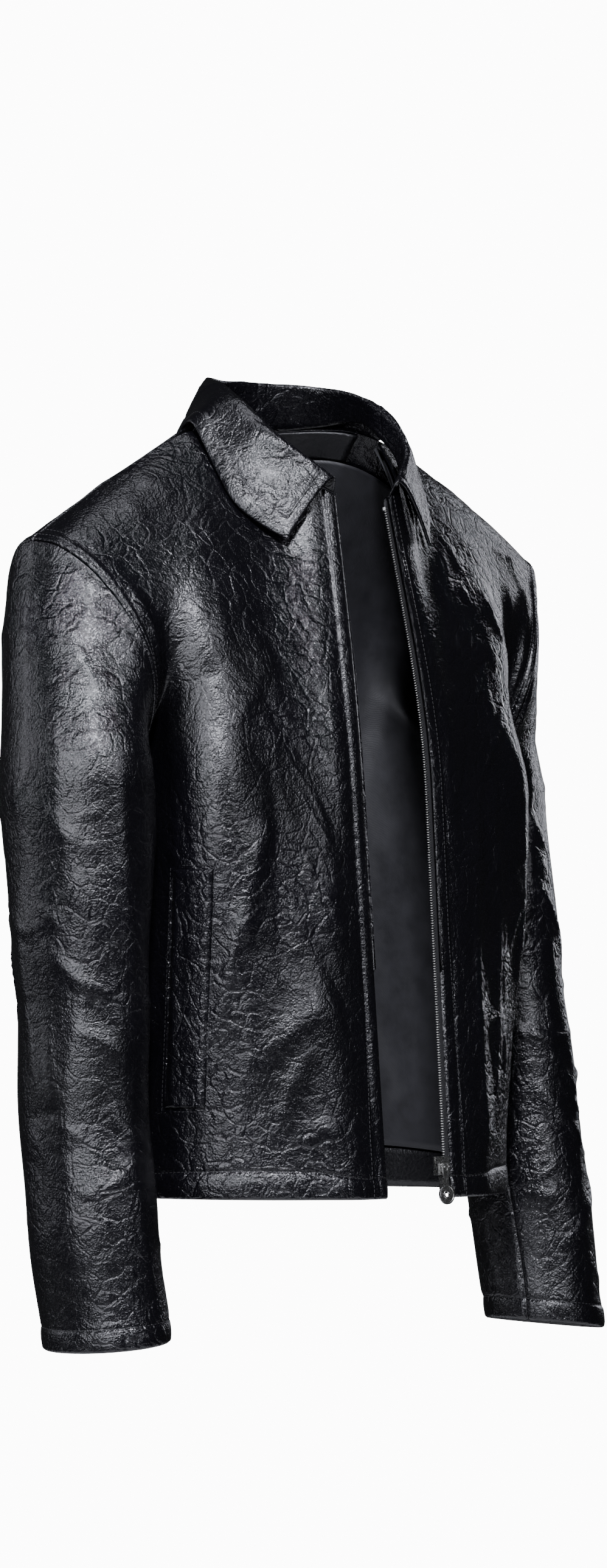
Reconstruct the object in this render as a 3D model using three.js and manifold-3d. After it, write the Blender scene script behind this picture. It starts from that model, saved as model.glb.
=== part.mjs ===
// A waist-length leather zip jacket, shaped as it hangs on a wearer with the front open.
// Millimetres, +Z up, the front faces -Y and the wearer's left is +X.
// The origin is the middle of the neck opening, where the wearer's neck and shoulders carry it.
import * as THREE from "three";
import { mergeVertices } from "three/addons/utils/BufferGeometryUtils.js";
import Module from "manifold-3d";

const wasm = await Module();
wasm.setup();

// ---------------------------------------------------------------- driving dimensions
const BODY_LENGTH = 611; // neck level down to the hem
const SHOULDER_HALF = 259; // centre line to the armhole seam at the shoulder point
const SHOULDER_DROP = 98; // neck level down to the shoulder point
const UNDERARM_DROP = 268; // neck level down to the underarm point
const UNDERARM_HALF = 174; // centre line to the underarm point
const HEM_HALF_WIDTH = 172;
const HEM_FRONT = 160; // neck axis forward to the hem
const HEM_BACK = 138; // neck axis back to the hem
const FRONT_HALF_GAP = 33; // centre line to each front edge, with the jacket hanging open
const CHEST_FRONT = 134; // neck axis forward to the front edge at the chest
const CHEST_DROP = 293; // the front edge hangs straight below this level
const SLEEVE_DROP = 722; // neck level down to the cuff
const NECK_HALF = 78; // centre line to the neck seam at the shoulder
const NECK_BACK = 64; // neck axis back to the nape
const NECK_FRONT = 90; // neck axis forward to the top of the zip
const NECK_FRONT_DROP = 57; // neck level down to the top of the zip
const LEATHER = 1.4; // outer leather
const FACING = 1.1; // thinner leather turned to the inside
const LINING = 0.6; // lining cloth
const PLY_GAP = 0.35; // air between two plies that lie on each other
const LINING_REST = 0.5; // the lining hangs this far off the plies beside it
const UNDERARM_CLEARANCE = 3.4; // the sleeve stands off the body at the underarm
const SEAM_GAP = 1.2; // each panel stops this far short of its seam line
const HEM_TURN = 28; // depth of the turned-up hem
const CUFF_TURN = 27; // depth of the turned-up cuff
const FACING_WIDTH = 58; // front edge to the lining
const NECK_FACING_DEPTH = 52;
const TAPE_WIDTH = 12;
const TAPE = 0.7; // zip tape thickness
const CHAIN_WIDTH = 3.6; // row of teeth, across
const CHAIN_THICKNESS = 2.4; // row of teeth, through
const CHAIN_OUT = 3.6; // the left row of teeth stands this far beyond the leather edge
const CHAIN_IN = 2.6; // the right row of teeth is covered by this much leather
const WELT_WIDTH = 22;
const WELT_LENGTH = 186;
const WELT_LEAN = 7; // half of what the welt leans forward over its length
const WELT_FOOT = 71; // hem up to the welt's lower end
const WELT_STAND = 1.3; // the padded welt stands off the panel
const SLOT_WIDTH = 12; // pocket mouth cut in the front panel
const POCKET_DEPTH = 84; // welt forward to the front of the bag
const POCKET_ROOM = 8.5; // space inside the bag
const BAG_CLOTH = 0.6;
const COLLAR_LEATHER = 1.1;
const COLLAR_REST = 6; // the collar leaf's outer edge rests this far above the body
const SLIDER_WALL = 0.9;
const SLIDER_LENGTH = 14.5;
const SLIDER_PLATE = 1.1;
const SLIDER_CLEARANCE = 0.4;
const BOX_LENGTH = 10; // retainer box at the foot of the zip
const STOP_LENGTH = 3; // clamp at the top of each row of teeth
const DISC_RADIUS = 8;
const DISC_THICKNESS = 1.8;
const STEM_LENGTH = 14.4; // pull hinge down to the disc's rim
const STEM_WIDTH = 6;
const EYE_RADIUS = 1.8; // outside of the eyes at the ends of the fork
const PIN_RADIUS = 0.75;
const LUG_WIDTH = 2.2;
const LUG_LENGTH = 3;
const STEM_THICKNESS = 1.3;

// Shape values that follow no other size.
const CHEST_FULLNESS = 35; // the front stands this far out beside the chest
const BACK_FULLNESS = 21; // and the back this far out beside the shoulder blades
const LEFT_SHOULDER_BACK = 14; // the wearer's left shoulder is drawn back this far
const NECK_SHARE = 0.36; // share of a front panel's width that ends on the neck seam
const BACK_NECK_SHARE = 0.33;
const ARMHOLE_SHARE = 0.574; // share of a panel's height below the underarm
const BICEP_SHARE = 0.29; // share of the sleeve's length that shapes the sleeve head
const FRONT_SEAM_ANGLE = 155; // sleeve seams, in degrees from the outer line by way of the front
const BACK_SEAM_ANGLE = 245;

const NECK_RISE = 10; // the neck seam crosses the shoulder this far above the neck level

const v3 = (x, y, z) => new THREE.Vector3(x, y, z);
const lerp = THREE.MathUtils.lerp;
const smooth = (x, low, high) => THREE.MathUtils.smoothstep(x, low, high);
const along = (points) => new THREE.CatmullRomCurve3(points, false, "centripetal");

// ---------------------------------------------------------------- plain materials
const leather = new THREE.MeshStandardMaterial({ color: 0x141416, roughness: 0.38, metalness: 0 });
const liningCloth = new THREE.MeshStandardMaterial({ color: 0x1b1b1e, roughness: 0.5, metalness: 0 });
const tapeCloth = new THREE.MeshStandardMaterial({ color: 0x101011, roughness: 0.85, metalness: 0 });
const silver = new THREE.MeshStandardMaterial({ color: 0xc9c9c6, roughness: 0.25, metalness: 1 });

const jacket = new THREE.Group();

function add(name, geometry, material, parent = jacket) {
  const mesh = new THREE.Mesh(geometry, material);
  mesh.name = name;
  parent.add(mesh);
  return mesh;
}

// ---------------------------------------------------------------- solids and booleans
function solid(geometry) {
  const bare = new THREE.BufferGeometry();
  bare.setAttribute("position", geometry.getAttribute("position"));
  if (geometry.index) bare.setIndex(geometry.index);
  const merged = mergeVertices(bare, 1e-4);
  return new wasm.Manifold(
    new wasm.Mesh({
      numProp: 3,
      vertProperties: new Float32Array(merged.attributes.position.array),
      triVerts: new Uint32Array(merged.index.array),
    }),
  );
}

function geometryOf(manifold) {
  const mesh = manifold.getMesh();
  const geometry = new THREE.BufferGeometry();
  geometry.setAttribute("position", new THREE.BufferAttribute(mesh.vertProperties, 3));
  geometry.setIndex(new THREE.BufferAttribute(mesh.triVerts, 1));
  geometry.computeVertexNormals();
  return geometry;
}

const cut = (from, ...cutters) =>
  geometryOf(cutters.reduce((rest, c) => rest.subtract(solid(c)), solid(from)));
const join = (...pieces) => geometryOf(pieces.map(solid).reduce((a, b) => a.add(b)));

// Unit normal of a surface at shares (a, b).
function normalAt(surface, a, b) {
  const step = 0.004;
  const across = surface.at(a + step, b).sub(surface.at(a - step, b));
  const upward = surface.at(a, b + step).sub(surface.at(a, b - step));
  return across.cross(upward).normalize();
}

// 1 if the surface's normals point away from its axis, or else -1.
function facing(surface, a, b) {
  const point = surface.at(a, b);
  const out = point.clone().sub(surface.axis(point));
  return normalAt(surface, a, b).dot(out) < 0 ? -1 : 1;
}

// Even grid lines from one value to another.
const even = (from, to, steps) => Array.from({ length: steps + 1 }, (_, n) => lerp(from, to, n / steps));

// A surface made of flat facets between grid lines. Plies that lie on each other share these
// facets, so that they stay the same distance apart. It runs on straight beyond its edges.
function faceted(surface, linesA, linesB) {
  const middle = (lines) => lines[Math.round(lines.length * 0.4)];
  const side = facing(surface, middle(linesA), middle(linesB));
  const rows = linesB.map((b) =>
    linesA.map((a) => ({
      point: surface.at(a, b),
      normal: normalAt(surface, a, b).multiplyScalar(side),
    })),
  );
  const cell = (lines, x) => {
    let k = 1;
    while (k < lines.length - 1 && lines[k] < x) k++;
    return [k, (x - lines[k - 1]) / (lines[k] - lines[k - 1])];
  };
  const mix = (key, a, b) => {
    const [i, s] = cell(linesA, a);
    const [j, t] = cell(linesB, b);
    const low = rows[j - 1][i - 1][key].clone().lerp(rows[j - 1][i][key], s);
    const high = rows[j][i - 1][key].clone().lerp(rows[j][i][key], s);
    return low.lerp(high, t);
  };
  return {
    at: (a, b) => mix("point", a, b),
    normal: (a, b) => mix("normal", a, b),
    linesA,
    linesB,
  };
}

// The grid lines of a range: its two ends and the surface's own lines between them.
function linesIn([low, high], lines) {
  const slack = (high - low) * 1e-4;
  return [low, ...lines.filter((x) => x > low + slack && x < high - slack), high];
}

// A closed sheet of the surface between the offsets near and far, which are distances along
// the outward normal, or functions of (a, b) that give them.
function sheet(surface, { a, b, near, far }) {
  const depth = (d, s, t) => (typeof d === "function" ? d(s, t) : d);
  const columns = linesIn(a, surface.linesA);
  const rows = linesIn(b, surface.linesB);
  const na = columns.length - 1;
  const nb = rows.length - 1;
  const positions = [];
  for (const d of [near, far]) {
    for (const t of rows) {
      for (const s of columns) {
        const p = surface.at(s, t).addScaledVector(surface.normal(s, t), depth(d, s, t));
        positions.push(p.x, p.y, p.z);
      }
    }
  }
  const layer = (na + 1) * (nb + 1);
  const id = (i, j, k) => k * layer + j * (na + 1) + i;
  const index = [];
  const quad = (p, q, r, s) => index.push(p, q, r, p, r, s);
  for (let j = 0; j < nb; j++) {
    for (let i = 0; i < na; i++) {
      quad(id(i, j, 0), id(i + 1, j, 0), id(i + 1, j + 1, 0), id(i, j + 1, 0));
      quad(id(i, j, 1), id(i, j + 1, 1), id(i + 1, j + 1, 1), id(i + 1, j, 1));
    }
  }
  for (let i = 0; i < na; i++) {
    quad(id(i, 0, 0), id(i, 0, 1), id(i + 1, 0, 1), id(i + 1, 0, 0));
    quad(id(i + 1, nb, 0), id(i + 1, nb, 1), id(i, nb, 1), id(i, nb, 0));
  }
  for (let j = 0; j < nb; j++) {
    quad(id(0, j + 1, 0), id(0, j + 1, 1), id(0, j, 1), id(0, j, 0));
    quad(id(na, j, 0), id(na, j, 1), id(na, j + 1, 1), id(na, j + 1, 0));
  }
  return outward(positions, index);
}

// Turns every face round if the body encloses a negative volume.
function outward(positions, index) {
  let volume = 0;
  const corner = (n) => v3(positions[3 * n], positions[3 * n + 1], positions[3 * n + 2]);
  for (let n = 0; n < index.length; n += 3) {
    volume += corner(index[n]).dot(corner(index[n + 1]).cross(corner(index[n + 2])));
  }
  if (volume < 0) index.reverse();
  const geometry = new THREE.BufferGeometry();
  geometry.setAttribute("position", new THREE.Float32BufferAttribute(positions, 3));
  geometry.setIndex(index);
  geometry.computeVertexNormals();
  return geometry;
}

// ---------------------------------------------------------------- seam lines, wearer's left half
const hemFront = v3(FRONT_HALF_GAP, -HEM_FRONT, -BODY_LENGTH);
const chestFront = v3(FRONT_HALF_GAP + 3, -CHEST_FRONT, -CHEST_DROP);
const neckFront = v3(FRONT_HALF_GAP - 5, -NECK_FRONT, -NECK_FRONT_DROP);
const shoulderNeck = v3(NECK_HALF, 4, NECK_RISE);
const shoulderPoint = v3(SHOULDER_HALF, 2, -SHOULDER_DROP);
const nape = v3(0, NECK_BACK, 2);
const hemSide = v3(HEM_HALF_WIDTH, -8, -BODY_LENGTH);
const underarm = v3(UNDERARM_HALF, 4, -UNDERARM_DROP);
const zipLine = chestFront.clone().sub(hemFront).normalize();

// Front edge: straight from the hem to the chest, then a smooth bend back to the neck.
const frontEdge = new THREE.CurvePath();
frontEdge.add(new THREE.LineCurve3(hemFront, chestFront));
frontEdge.add(
  new THREE.CubicBezierCurve3(
    chestFront,
    chestFront.clone().addScaledVector(zipLine, 85),
    neckFront.clone().add(v3(3, -17, -80)),
    neckFront,
  ),
);

const frontNeck = along([
  neckFront,
  v3(lerp(neckFront.x, NECK_HALF, 0.45), lerp(-NECK_FRONT, 4, 0.15), lerp(-NECK_FRONT_DROP, NECK_RISE, 0.2)),
  v3(lerp(neckFront.x, NECK_HALF, 0.85), lerp(-NECK_FRONT, 4, 0.48), lerp(-NECK_FRONT_DROP, NECK_RISE, 0.6)),
  shoulderNeck,
]);
const backNeck = along([
  nape,
  v3(NECK_HALF * 0.48, NECK_BACK * 0.93, 4),
  v3(NECK_HALF * 0.85, NECK_BACK * 0.58, 8),
  shoulderNeck,
]);
const shoulderSeam = along([
  shoulderNeck,
  v3(lerp(NECK_HALF, SHOULDER_HALF, 0.2), 3, lerp(NECK_RISE, -SHOULDER_DROP, 0.16)),
  v3(lerp(NECK_HALF, SHOULDER_HALF, 0.55), 2, lerp(NECK_RISE, -SHOULDER_DROP, 0.49)),
  v3(lerp(NECK_HALF, SHOULDER_HALF, 0.85), 1, lerp(NECK_RISE, -SHOULDER_DROP, 0.81)),
  shoulderPoint,
]);
const sideSeam = along([
  hemSide,
  hemSide.clone().lerp(underarm, 0.45).add(v3(6, -2, 0)),
  hemSide.clone().lerp(underarm, 0.78).add(v3(4, 0, 0)),
  underarm,
]);

// Armhole seam, from the underarm to the shoulder point. Each row gives the share of the way
// out to the shoulder, the place front to back, and the share of the way up.
function armhole(rows) {
  const inner = rows.map(([out, y, up]) =>
    v3(lerp(UNDERARM_HALF, SHOULDER_HALF, out), y, -lerp(UNDERARM_DROP, SHOULDER_DROP, up)),
  );
  return along([underarm, ...inner, shoulderPoint]);
}
const armholeFront = armhole([
  [0.06, -30, 0.03],
  [0.17, -58, 0.14],
  [0.3, -75, 0.35],
  [0.43, -75, 0.53],
  [0.6, -61, 0.72],
  [0.79, -42, 0.88],
  [0.94, -20, 0.975],
]);
const armholeBack = armhole([
  [0.05, 34, 0.03],
  [0.17, 60, 0.15],
  [0.38, 74, 0.34],
  [0.6, 72, 0.53],
  [0.77, 60, 0.71],
  [0.9, 42, 0.88],
  [0.98, 22, 0.975],
]);

// A quarter of the hem outline, from the middle to the side: part of an ellipse.
function hemQuarter(start, depth) {
  const points = [];
  const steps = 12;
  for (let i = 0; i <= steps; i++) {
    const angle = (i / steps) * (Math.PI / 2);
    const x = lerp(start.x, hemSide.x, Math.sin(angle));
    points.push(v3(x, lerp(hemSide.y, depth, Math.cos(angle)), -BODY_LENGTH));
  }
  return along(points);
}
const hemFrontLine = hemQuarter(hemFront, -HEM_FRONT);
const hemBackLine = hemQuarter(v3(0, HEM_BACK, -BODY_LENGTH), HEM_BACK);

// ---------------------------------------------------------------- body surfaces
// A panel hangs in columns from its top seam to the hem. Each column leaves the hem upright
// and meets the top seam from the direction that its pull gives.
const bezier = (p0, p1, p2, p3, t) => new THREE.CubicBezierCurve3(p0, p1, p2, p3).getPoint(t);
const frontPull = along([
  v3(3, -17, -80),
  v3(6, -52, -80),
  v3(5, -86, -80),
  v3(0, -108, -70),
  v3(-4, -104, -58),
  v3(-22, -78, -36),
]);
const backPull = along([
  v3(0, 52, -76),
  v3(2, 62, -72),
  v3(2, 74, -68),
  v3(0, 82, -64),
  v3(-4, 78, -60),
  v3(-20, 58, -42),
]);

function outerLine(armholeLine, v) {
  if (v < ARMHOLE_SHARE) return sideSeam.getPointAt(Math.max(0, v / ARMHOLE_SHARE));
  return armholeLine.getPointAt(Math.min(1, (v - ARMHOLE_SHARE) / (1 - ARMHOLE_SHARE)));
}

function hanging(hemLine, top, pull, innerLine, armholeLine, fullness, u, v) {
  const rise = v3(0, 0, BODY_LENGTH * 0.44);
  const columnPoint = (s) => {
    const foot = hemLine.getPointAt(s);
    const head = top(s);
    const lean = v3(0, foot.y > 0 ? -6 : 12, 0);
    return bezier(foot, foot.clone().add(rise).add(lean), head.clone().add(pull.getPoint(s)), head, v);
  };
  const point = columnPoint(u);
  const inner = innerLine(v).sub(columnPoint(0)).multiplyScalar(Math.pow(1 - u, 5));
  const outer = outerLine(armholeLine, v).sub(columnPoint(1)).multiplyScalar(Math.pow(u, 4));
  const chest = smooth(v, 0.02, 0.5) * (1 - smooth(v, 0.6, 0.9));
  const corner = Math.pow(Math.sin(Math.PI * THREE.MathUtils.clamp(u - 0.08, 0, 0.84) / 0.84), 2);
  return point.add(inner).add(outer).addScaledVector(fullness, chest * corner);
}

const frontTop = (s) =>
  s < NECK_SHARE
    ? frontNeck.getPointAt(s / NECK_SHARE)
    : shoulderSeam.getPointAt((s - NECK_SHARE) / (1 - NECK_SHARE));
const backTop = (s) =>
  s < BACK_NECK_SHARE
    ? backNeck.getPointAt(s / BACK_NECK_SHARE)
    : shoulderSeam.getPointAt((s - BACK_NECK_SHARE) / (1 - BACK_NECK_SHARE));

// The strip beside the front edge lies flat, so that the zip runs true. It turns with the
// neck seam above the chest.
const frontWidth = hemFrontLine.getLength();
const FLAT_SHARE = (TAPE_WIDTH + CHAIN_WIDTH + 2) / frontWidth;
const straightShare = CHEST_DROP / (BODY_LENGTH + NECK_FRONT_DROP);
function stripPoint(u, v) {
  const turn = smooth(v, 1 - straightShare, 1);
  const across = v3(1, 0, 0).lerp(v3(0.82, 0.42, 0.38), turn).normalize();
  return frontEdge.getPoint(THREE.MathUtils.clamp(v, 0, 1)).addScaledVector(across, u * frontWidth);
}

const clampShare = (x) => THREE.MathUtils.clamp(x, 0, 1);
const frontFullness = v3(0.76, -0.65, 0).multiplyScalar(CHEST_FULLNESS);
const backFullness = v3(0.76, 0.65, 0).multiplyScalar(BACK_FULLNESS);
function frontPoint(u, v) {
  const inside = hanging(
    hemFrontLine,
    frontTop,
    frontPull,
    (t) => frontEdge.getPoint(t),
    armholeFront,
    frontFullness,
    clampShare(u),
    clampShare(v),
  );
  return stripPoint(u, v).lerp(inside, smooth(u, FLAT_SHARE, FLAT_SHARE + 0.2));
}
const centreBack = (v) =>
  bezier(
    v3(0, HEM_BACK, -BODY_LENGTH),
    v3(0, HEM_BACK - 8, -BODY_LENGTH * 0.56),
    nape.clone().add(v3(0, 58, -72)),
    nape,
    v,
  );
function backPoint(u, v) {
  return hanging(
    hemBackLine,
    backTop,
    backPull,
    centreBack,
    armholeBack,
    backFullness,
    clampShare(u),
    clampShare(v),
  );
}

const bodyAxis = (point) => v3(point.x * 0.25, 0, Math.min(point.z, -SHOULDER_DROP * 1.6));
// The wearer's left shoulder is drawn back a little, and the leather with it.
function stance(point) {
  const high = smooth(-point.z, 60, 125) * (1 - smooth(-point.z, 235, 300));
  point.y += LEFT_SHOULDER_BACK * smooth(point.x, 110, 235) * high;
  return point;
}
const bodyLines = [...even(0, ARMHOLE_SHARE, 7), ...even(ARMHOLE_SHARE, 1, 9).slice(1)];
function frontSurface(side) {
  const smoothSurface = {
    at: (u, v) => stance(frontPoint(u, v).multiply(v3(side, 1, 1))),
    axis: bodyAxis,
  };
  return faceted(smoothSurface, [0, ...even(FLAT_SHARE, 1, 10)], bodyLines);
}
const frontSurfaces = { right: frontSurface(-1), left: frontSurface(1) };
// The back runs from one side seam to the other, with the centre line at a = 0.
const backSurface = faceted(
  {
    at: (a, v) => stance(backPoint(Math.abs(a), v).multiply(v3(Math.sign(a) || 1, 1, 1))),
    axis: bodyAxis,
  },
  even(-1, 1, 20),
  bodyLines,
);

// ---------------------------------------------------------------- sleeve surfaces
// Sections of the sleeve below its head: share of the way down, centre out from the body's
// side seam, centre y, and half axes.
// The wearer's right arm hangs a little forward and the left one a little back.
const ARM_SECTIONS = {
  right: [
    [0, 62, -26, 52, 69],
    [0.13, 63, -27, 50, 67],
    [0.34, 62, -28, 46, 61],
    [0.56, 60, -29, 45, 59],
    [0.77, 58, -38, 45.5, 58],
    [1, 52, -48, 45, 56],
  ],
  left: [
    [0, 57, 32, 48, 64],
    [0.13, 58, 20, 47, 63],
    [0.34, 60, 7, 46, 60],
    [0.56, 62, -8, 45, 58],
    [0.77, 66, -22, 45, 57],
    [1, 71, -37, 44, 54],
  ],
};
const BICEP_DROP = UNDERARM_DROP + 24;
const CUFF_TILT = 5; // the cuff's outer side hangs this much lower than its inner side

function sectionAt(rows, share) {
  const k = rows.findIndex((row) => row[0] >= share - 1e-9);
  const high = Math.max(1, k < 0 ? rows.length - 1 : k);
  const [r0, r1, r2, r3] = [high - 2, high - 1, high, high + 1].map(
    (n) => rows[THREE.MathUtils.clamp(n, 0, rows.length - 1)],
  );
  const t = (share - r1[0]) / (r2[0] - r1[0]);
  return r1.slice(1).map((value, n) => {
    const slope1 = (r2[n + 1] - r0[n + 1]) / 2;
    const slope2 = (r3[n + 1] - r1[n + 1]) / 2;
    const end = r2[n + 1];
    const t2 = t * t;
    const t3 = t2 * t;
    return (
      (2 * t3 - 3 * t2 + 1) * value +
      (t3 - 2 * t2 + t) * slope1 +
      (3 * t2 - 2 * t3) * end +
      (t3 - t2) * slope2
    );
  });
}

// The half width of the body beside the sleeve, from the underarm to the hem's level and below.
function sideSeamHalf(share) {
  const toHem = (SLEEVE_DROP - BICEP_DROP) / (BODY_LENGTH - BICEP_DROP);
  return lerp(UNDERARM_HALF, HEM_HALF_WIDTH, Math.min(1, 0.7 + share * toHem));
}

function sleeveRing(rows, angle, share) {
  const [beside, y, halfX, halfY] = sectionAt(rows, share);
  const out = sideSeamHalf(share) + beside + halfX * Math.cos(angle);
  const tilt = -CUFF_TILT * share * Math.cos(angle);
  return v3(out, y - halfY * Math.sin(angle), -lerp(BICEP_DROP, SLEEVE_DROP, share) + tilt);
}

// angle 0 is the shoulder point, 90 the front, 180 the underarm and 270 the back.
function sleevePoint(rows, degrees, w) {
  const turn = ((degrees % 360) + 360) % 360;
  const seam =
    turn <= 180 ? armholeFront.getPointAt(1 - turn / 180) : armholeBack.getPointAt(turn / 180 - 1);
  const angle = THREE.MathUtils.degToRad(turn);
  const crown = (1 + Math.cos(angle)) / 2; // 1 at the shoulder point, 0 at the underarm
  seam.x += UNDERARM_CLEARANCE * Math.pow(1 - crown, 4);
  if (w >= BICEP_SHARE) return sleeveRing(rows, angle, (w - BICEP_SHARE) / (1 - BICEP_SHARE));
  const end = sleeveRing(rows, angle, 0);
  const reach = seam.distanceTo(end);
  const hang = smooth(crown, 0, 0.4);
  const leave = v3(lerp(0.9, 0.1, hang), 0, -lerp(0.25, 0.8, hang)).multiplyScalar(reach);
  const arrive = v3(0, 0, -reach * 0.9);
  const t = w / BICEP_SHARE;
  const [t2, t3] = [t * t, t * t * t];
  return seam
    .clone()
    .multiplyScalar(2 * t3 - 3 * t2 + 1)
    .addScaledVector(leave, t3 - 2 * t2 + t)
    .addScaledVector(end, 3 * t2 - 2 * t3)
    .addScaledVector(arrive, t3 - t2);
}

const sleeveLines = [...even(0, BICEP_SHARE, 5), ...even(BICEP_SHARE, 1, 7).slice(1)];
function sleeveSurface(side, rows) {
  const mirror = v3(side, 1, 1);
  const middle = (z) => {
    const share = clampShare((-z - BICEP_DROP) / (SLEEVE_DROP - BICEP_DROP));
    const [beside, y] = sectionAt(rows, share);
    const x = side * (sideSeamHalf(share) + beside - 6);
    return v3(x, y, Math.min(z, -SHOULDER_DROP - 60));
  };
  const smoothSurface = {
    at: (turn, w) => stance(sleevePoint(rows, turn * 360, w).multiply(mirror)),
    axis: (point) => middle(point.z),
  };
  return faceted(smoothSurface, even(-0.5, 1, 30), sleeveLines);
}

// ---------------------------------------------------------------- shares that give lengths in mm
// The share reached by going a length along a column of the surface; a negative length goes down.
function shareAfter(surface, column, from, length) {
  const step = Math.sign(length) * 0.002;
  let share = from;
  let gone = 0;
  while (gone < Math.abs(length)) {
    gone += surface.at(column, share).distanceTo(surface.at(column, share + step));
    share += step;
  }
  return share;
}
const backWidth = hemBackLine.getLength();
const sleeveLength = SLEEVE_DROP - SHOULDER_DROP;
const seamU = SEAM_GAP / frontWidth;
const seamV = 1 - shareAfter(backSurface, 0, 1, -SEAM_GAP);
const seamW = SEAM_GAP / sleeveLength;
const seamTurn = SEAM_GAP / 330;
const facingU = FACING_WIDTH / frontWidth;
const hemV = shareAfter(backSurface, 0.5, 0, HEM_TURN);
const neckFacingV = 1 - shareAfter(backSurface, 0, 1, -NECK_FACING_DEPTH);
const cuffW = CUFF_TURN / sleeveLength;

const chainPlace = { right: CHAIN_IN, left: -CHAIN_OUT }; // mm inward from the leather edge
const facingStart = (name) => (Math.max(0, chainPlace[name] + CHAIN_WIDTH / 2) + 1) / frontWidth;

// Depths below the outer face of the leather, ply by ply.
const turnedNear = -(LEATHER + PLY_GAP);
const turnedFar = turnedNear - FACING;
const tapeNear = turnedFar - PLY_GAP - (CHAIN_THICKNESS - TAPE) / 2 + FACING;
const tapeFar = tapeNear - TAPE;
const facingNear = Math.min(tapeFar, turnedFar) - PLY_GAP;
const facingFar = facingNear - FACING;

// ---------------------------------------------------------------- pockets
// The welt stands on the front panel, its upper end nearer the front edge.
const weltPlace = 0.775; // share of the panel's width at the welt's rear edge
const weltRise = Math.sqrt(WELT_LENGTH ** 2 - (2 * WELT_LEAN) ** 2);
const weltAcross = WELT_WIDTH / frontWidth;
const slotAcross = SLOT_WIDTH / frontWidth;
const weltLean = WELT_LEAN / frontWidth;

// The share at which a column of the panel reaches a height.
function shareAtHeight(surface, u, height) {
  let [low, high] = [0, 0.9];
  while (high - low > 1e-5) {
    const middle = (low + high) / 2;
    if (surface.at(u, middle).z < height - BODY_LENGTH) low = middle;
    else high = middle;
  }
  return low;
}
const bagNear = turnedNear - 1.2;
const bagFar = bagNear - 2 * BAG_CLOTH - POCKET_ROOM;
const bagBox = { a: [-slotAcross * 0.6, POCKET_DEPTH / frontWidth], b: [-0.06, 1.06] };

function pocketSurface(front) {
  // a runs forward from the welt's rear edge in panel shares, b from the foot to the head
  const place = (a, b) => {
    const u = weltPlace + weltLean * (1 - 2 * b) - a;
    return [u, shareAtHeight(front, u, WELT_FOOT + weltRise * b)];
  };
  return {
    at: (a, b) => front.at(...place(a, b)),
    normal: (a, b) => front.normal(...place(a, b)),
    linesA: even(...bagBox.a, 6),
    linesB: even(...bagBox.b, 8),
  };
}

function pocketBag(surface) {
  const clothA = BAG_CLOTH / frontWidth;
  const clothB = BAG_CLOTH / WELT_LENGTH;
  const inner = {
    a: [bagBox.a[0] + clothA, bagBox.a[1] - clothA],
    b: [bagBox.b[0] + clothB, bagBox.b[1] - clothB],
  };
  const shell = sheet(surface, { ...bagBox, near: bagNear, far: bagFar });
  const room = sheet(surface, {
    ...bagBox,
    ...inner,
    near: bagNear - BAG_CLOTH,
    far: bagFar + BAG_CLOTH,
  });
  return cut(shell, room, pocketMouth(surface));
}

// The slot through the front panel and the outer cloth of the bag.
const pocketMouth = (surface) =>
  sheet(surface, { a: [0, slotAcross], b: [0.04, 0.96], near: 3, far: bagNear - 3 });

// The lining stands off the leather where the bag lies between them. The bag's place is
// widened to whole facets of the panel.
function wholeFacets([low, high], lines) {
  return [Math.max(...lines.filter((x) => x <= low)), Math.min(...lines.filter((x) => x >= high))];
}
const bagColumns = wholeFacets(
  [weltPlace - weltLean - bagBox.a[1], weltPlace + weltLean - bagBox.a[0]],
  frontSurfaces.left.linesA,
);
const bagRows = wholeFacets(
  bagBox.b.map((b) => shareAtHeight(frontSurfaces.left, weltPlace - 0.2, WELT_FOOT + weltRise * b)),
  bodyLines,
);
function liningDepth(u, v) {
  const within = (x, [low, high]) => x > low - 1e-6 && x < high + 1e-6;
  return within(u, bagColumns) && within(v, bagRows) ? bagFar - 2 : facingNear - LINING_REST;
}

// ---------------------------------------------------------------- front panels and what backs them
function frontPieces(name) {
  const surface = frontSurfaces[name];
  const pocket = pocketSurface(surface);
  const shell = sheet(surface, { a: [0, 1 - seamU], b: [0, 1 - seamV], near: 0, far: -LEATHER });
  add(`front_panel_${name}`, cut(shell, pocketMouth(pocket)), leather);
  const facing = { a: [facingStart(name), facingU], b: [0, 1 - 2 * seamV] };
  add(
    `front_facing_${name}`,
    sheet(surface, { ...facing, near: facingNear, far: facingFar }),
    leather,
  );
  const hem = { a: [facingU + seamU, 1 - 3 * seamU], b: [0, hemV] };
  add(`hem_turn_${name}`, sheet(surface, { ...hem, near: turnedNear, far: turnedFar }), leather);
  const cloth = { a: [facingU + seamU, 1 - 8 * seamU], b: [hemV + seamV, 1 - 8 * seamV] };
  add(
    `front_lining_${name}`,
    sheet(surface, {
      ...cloth,
      near: liningDepth,
      far: (u, v) => liningDepth(u, v) - LINING,
    }),
    liningCloth,
  );
  const welt = { a: [slotAcross + seamU, slotAcross + seamU + weltAcross], b: [0, 1] };
  add(
    `pocket_welt_${name}`,
    sheet(pocket, { ...welt, near: WELT_STAND + LEATHER, far: WELT_STAND }),
    leather,
  );
  add(`pocket_bag_${name}`, pocketBag(pocket), liningCloth);
}

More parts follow.
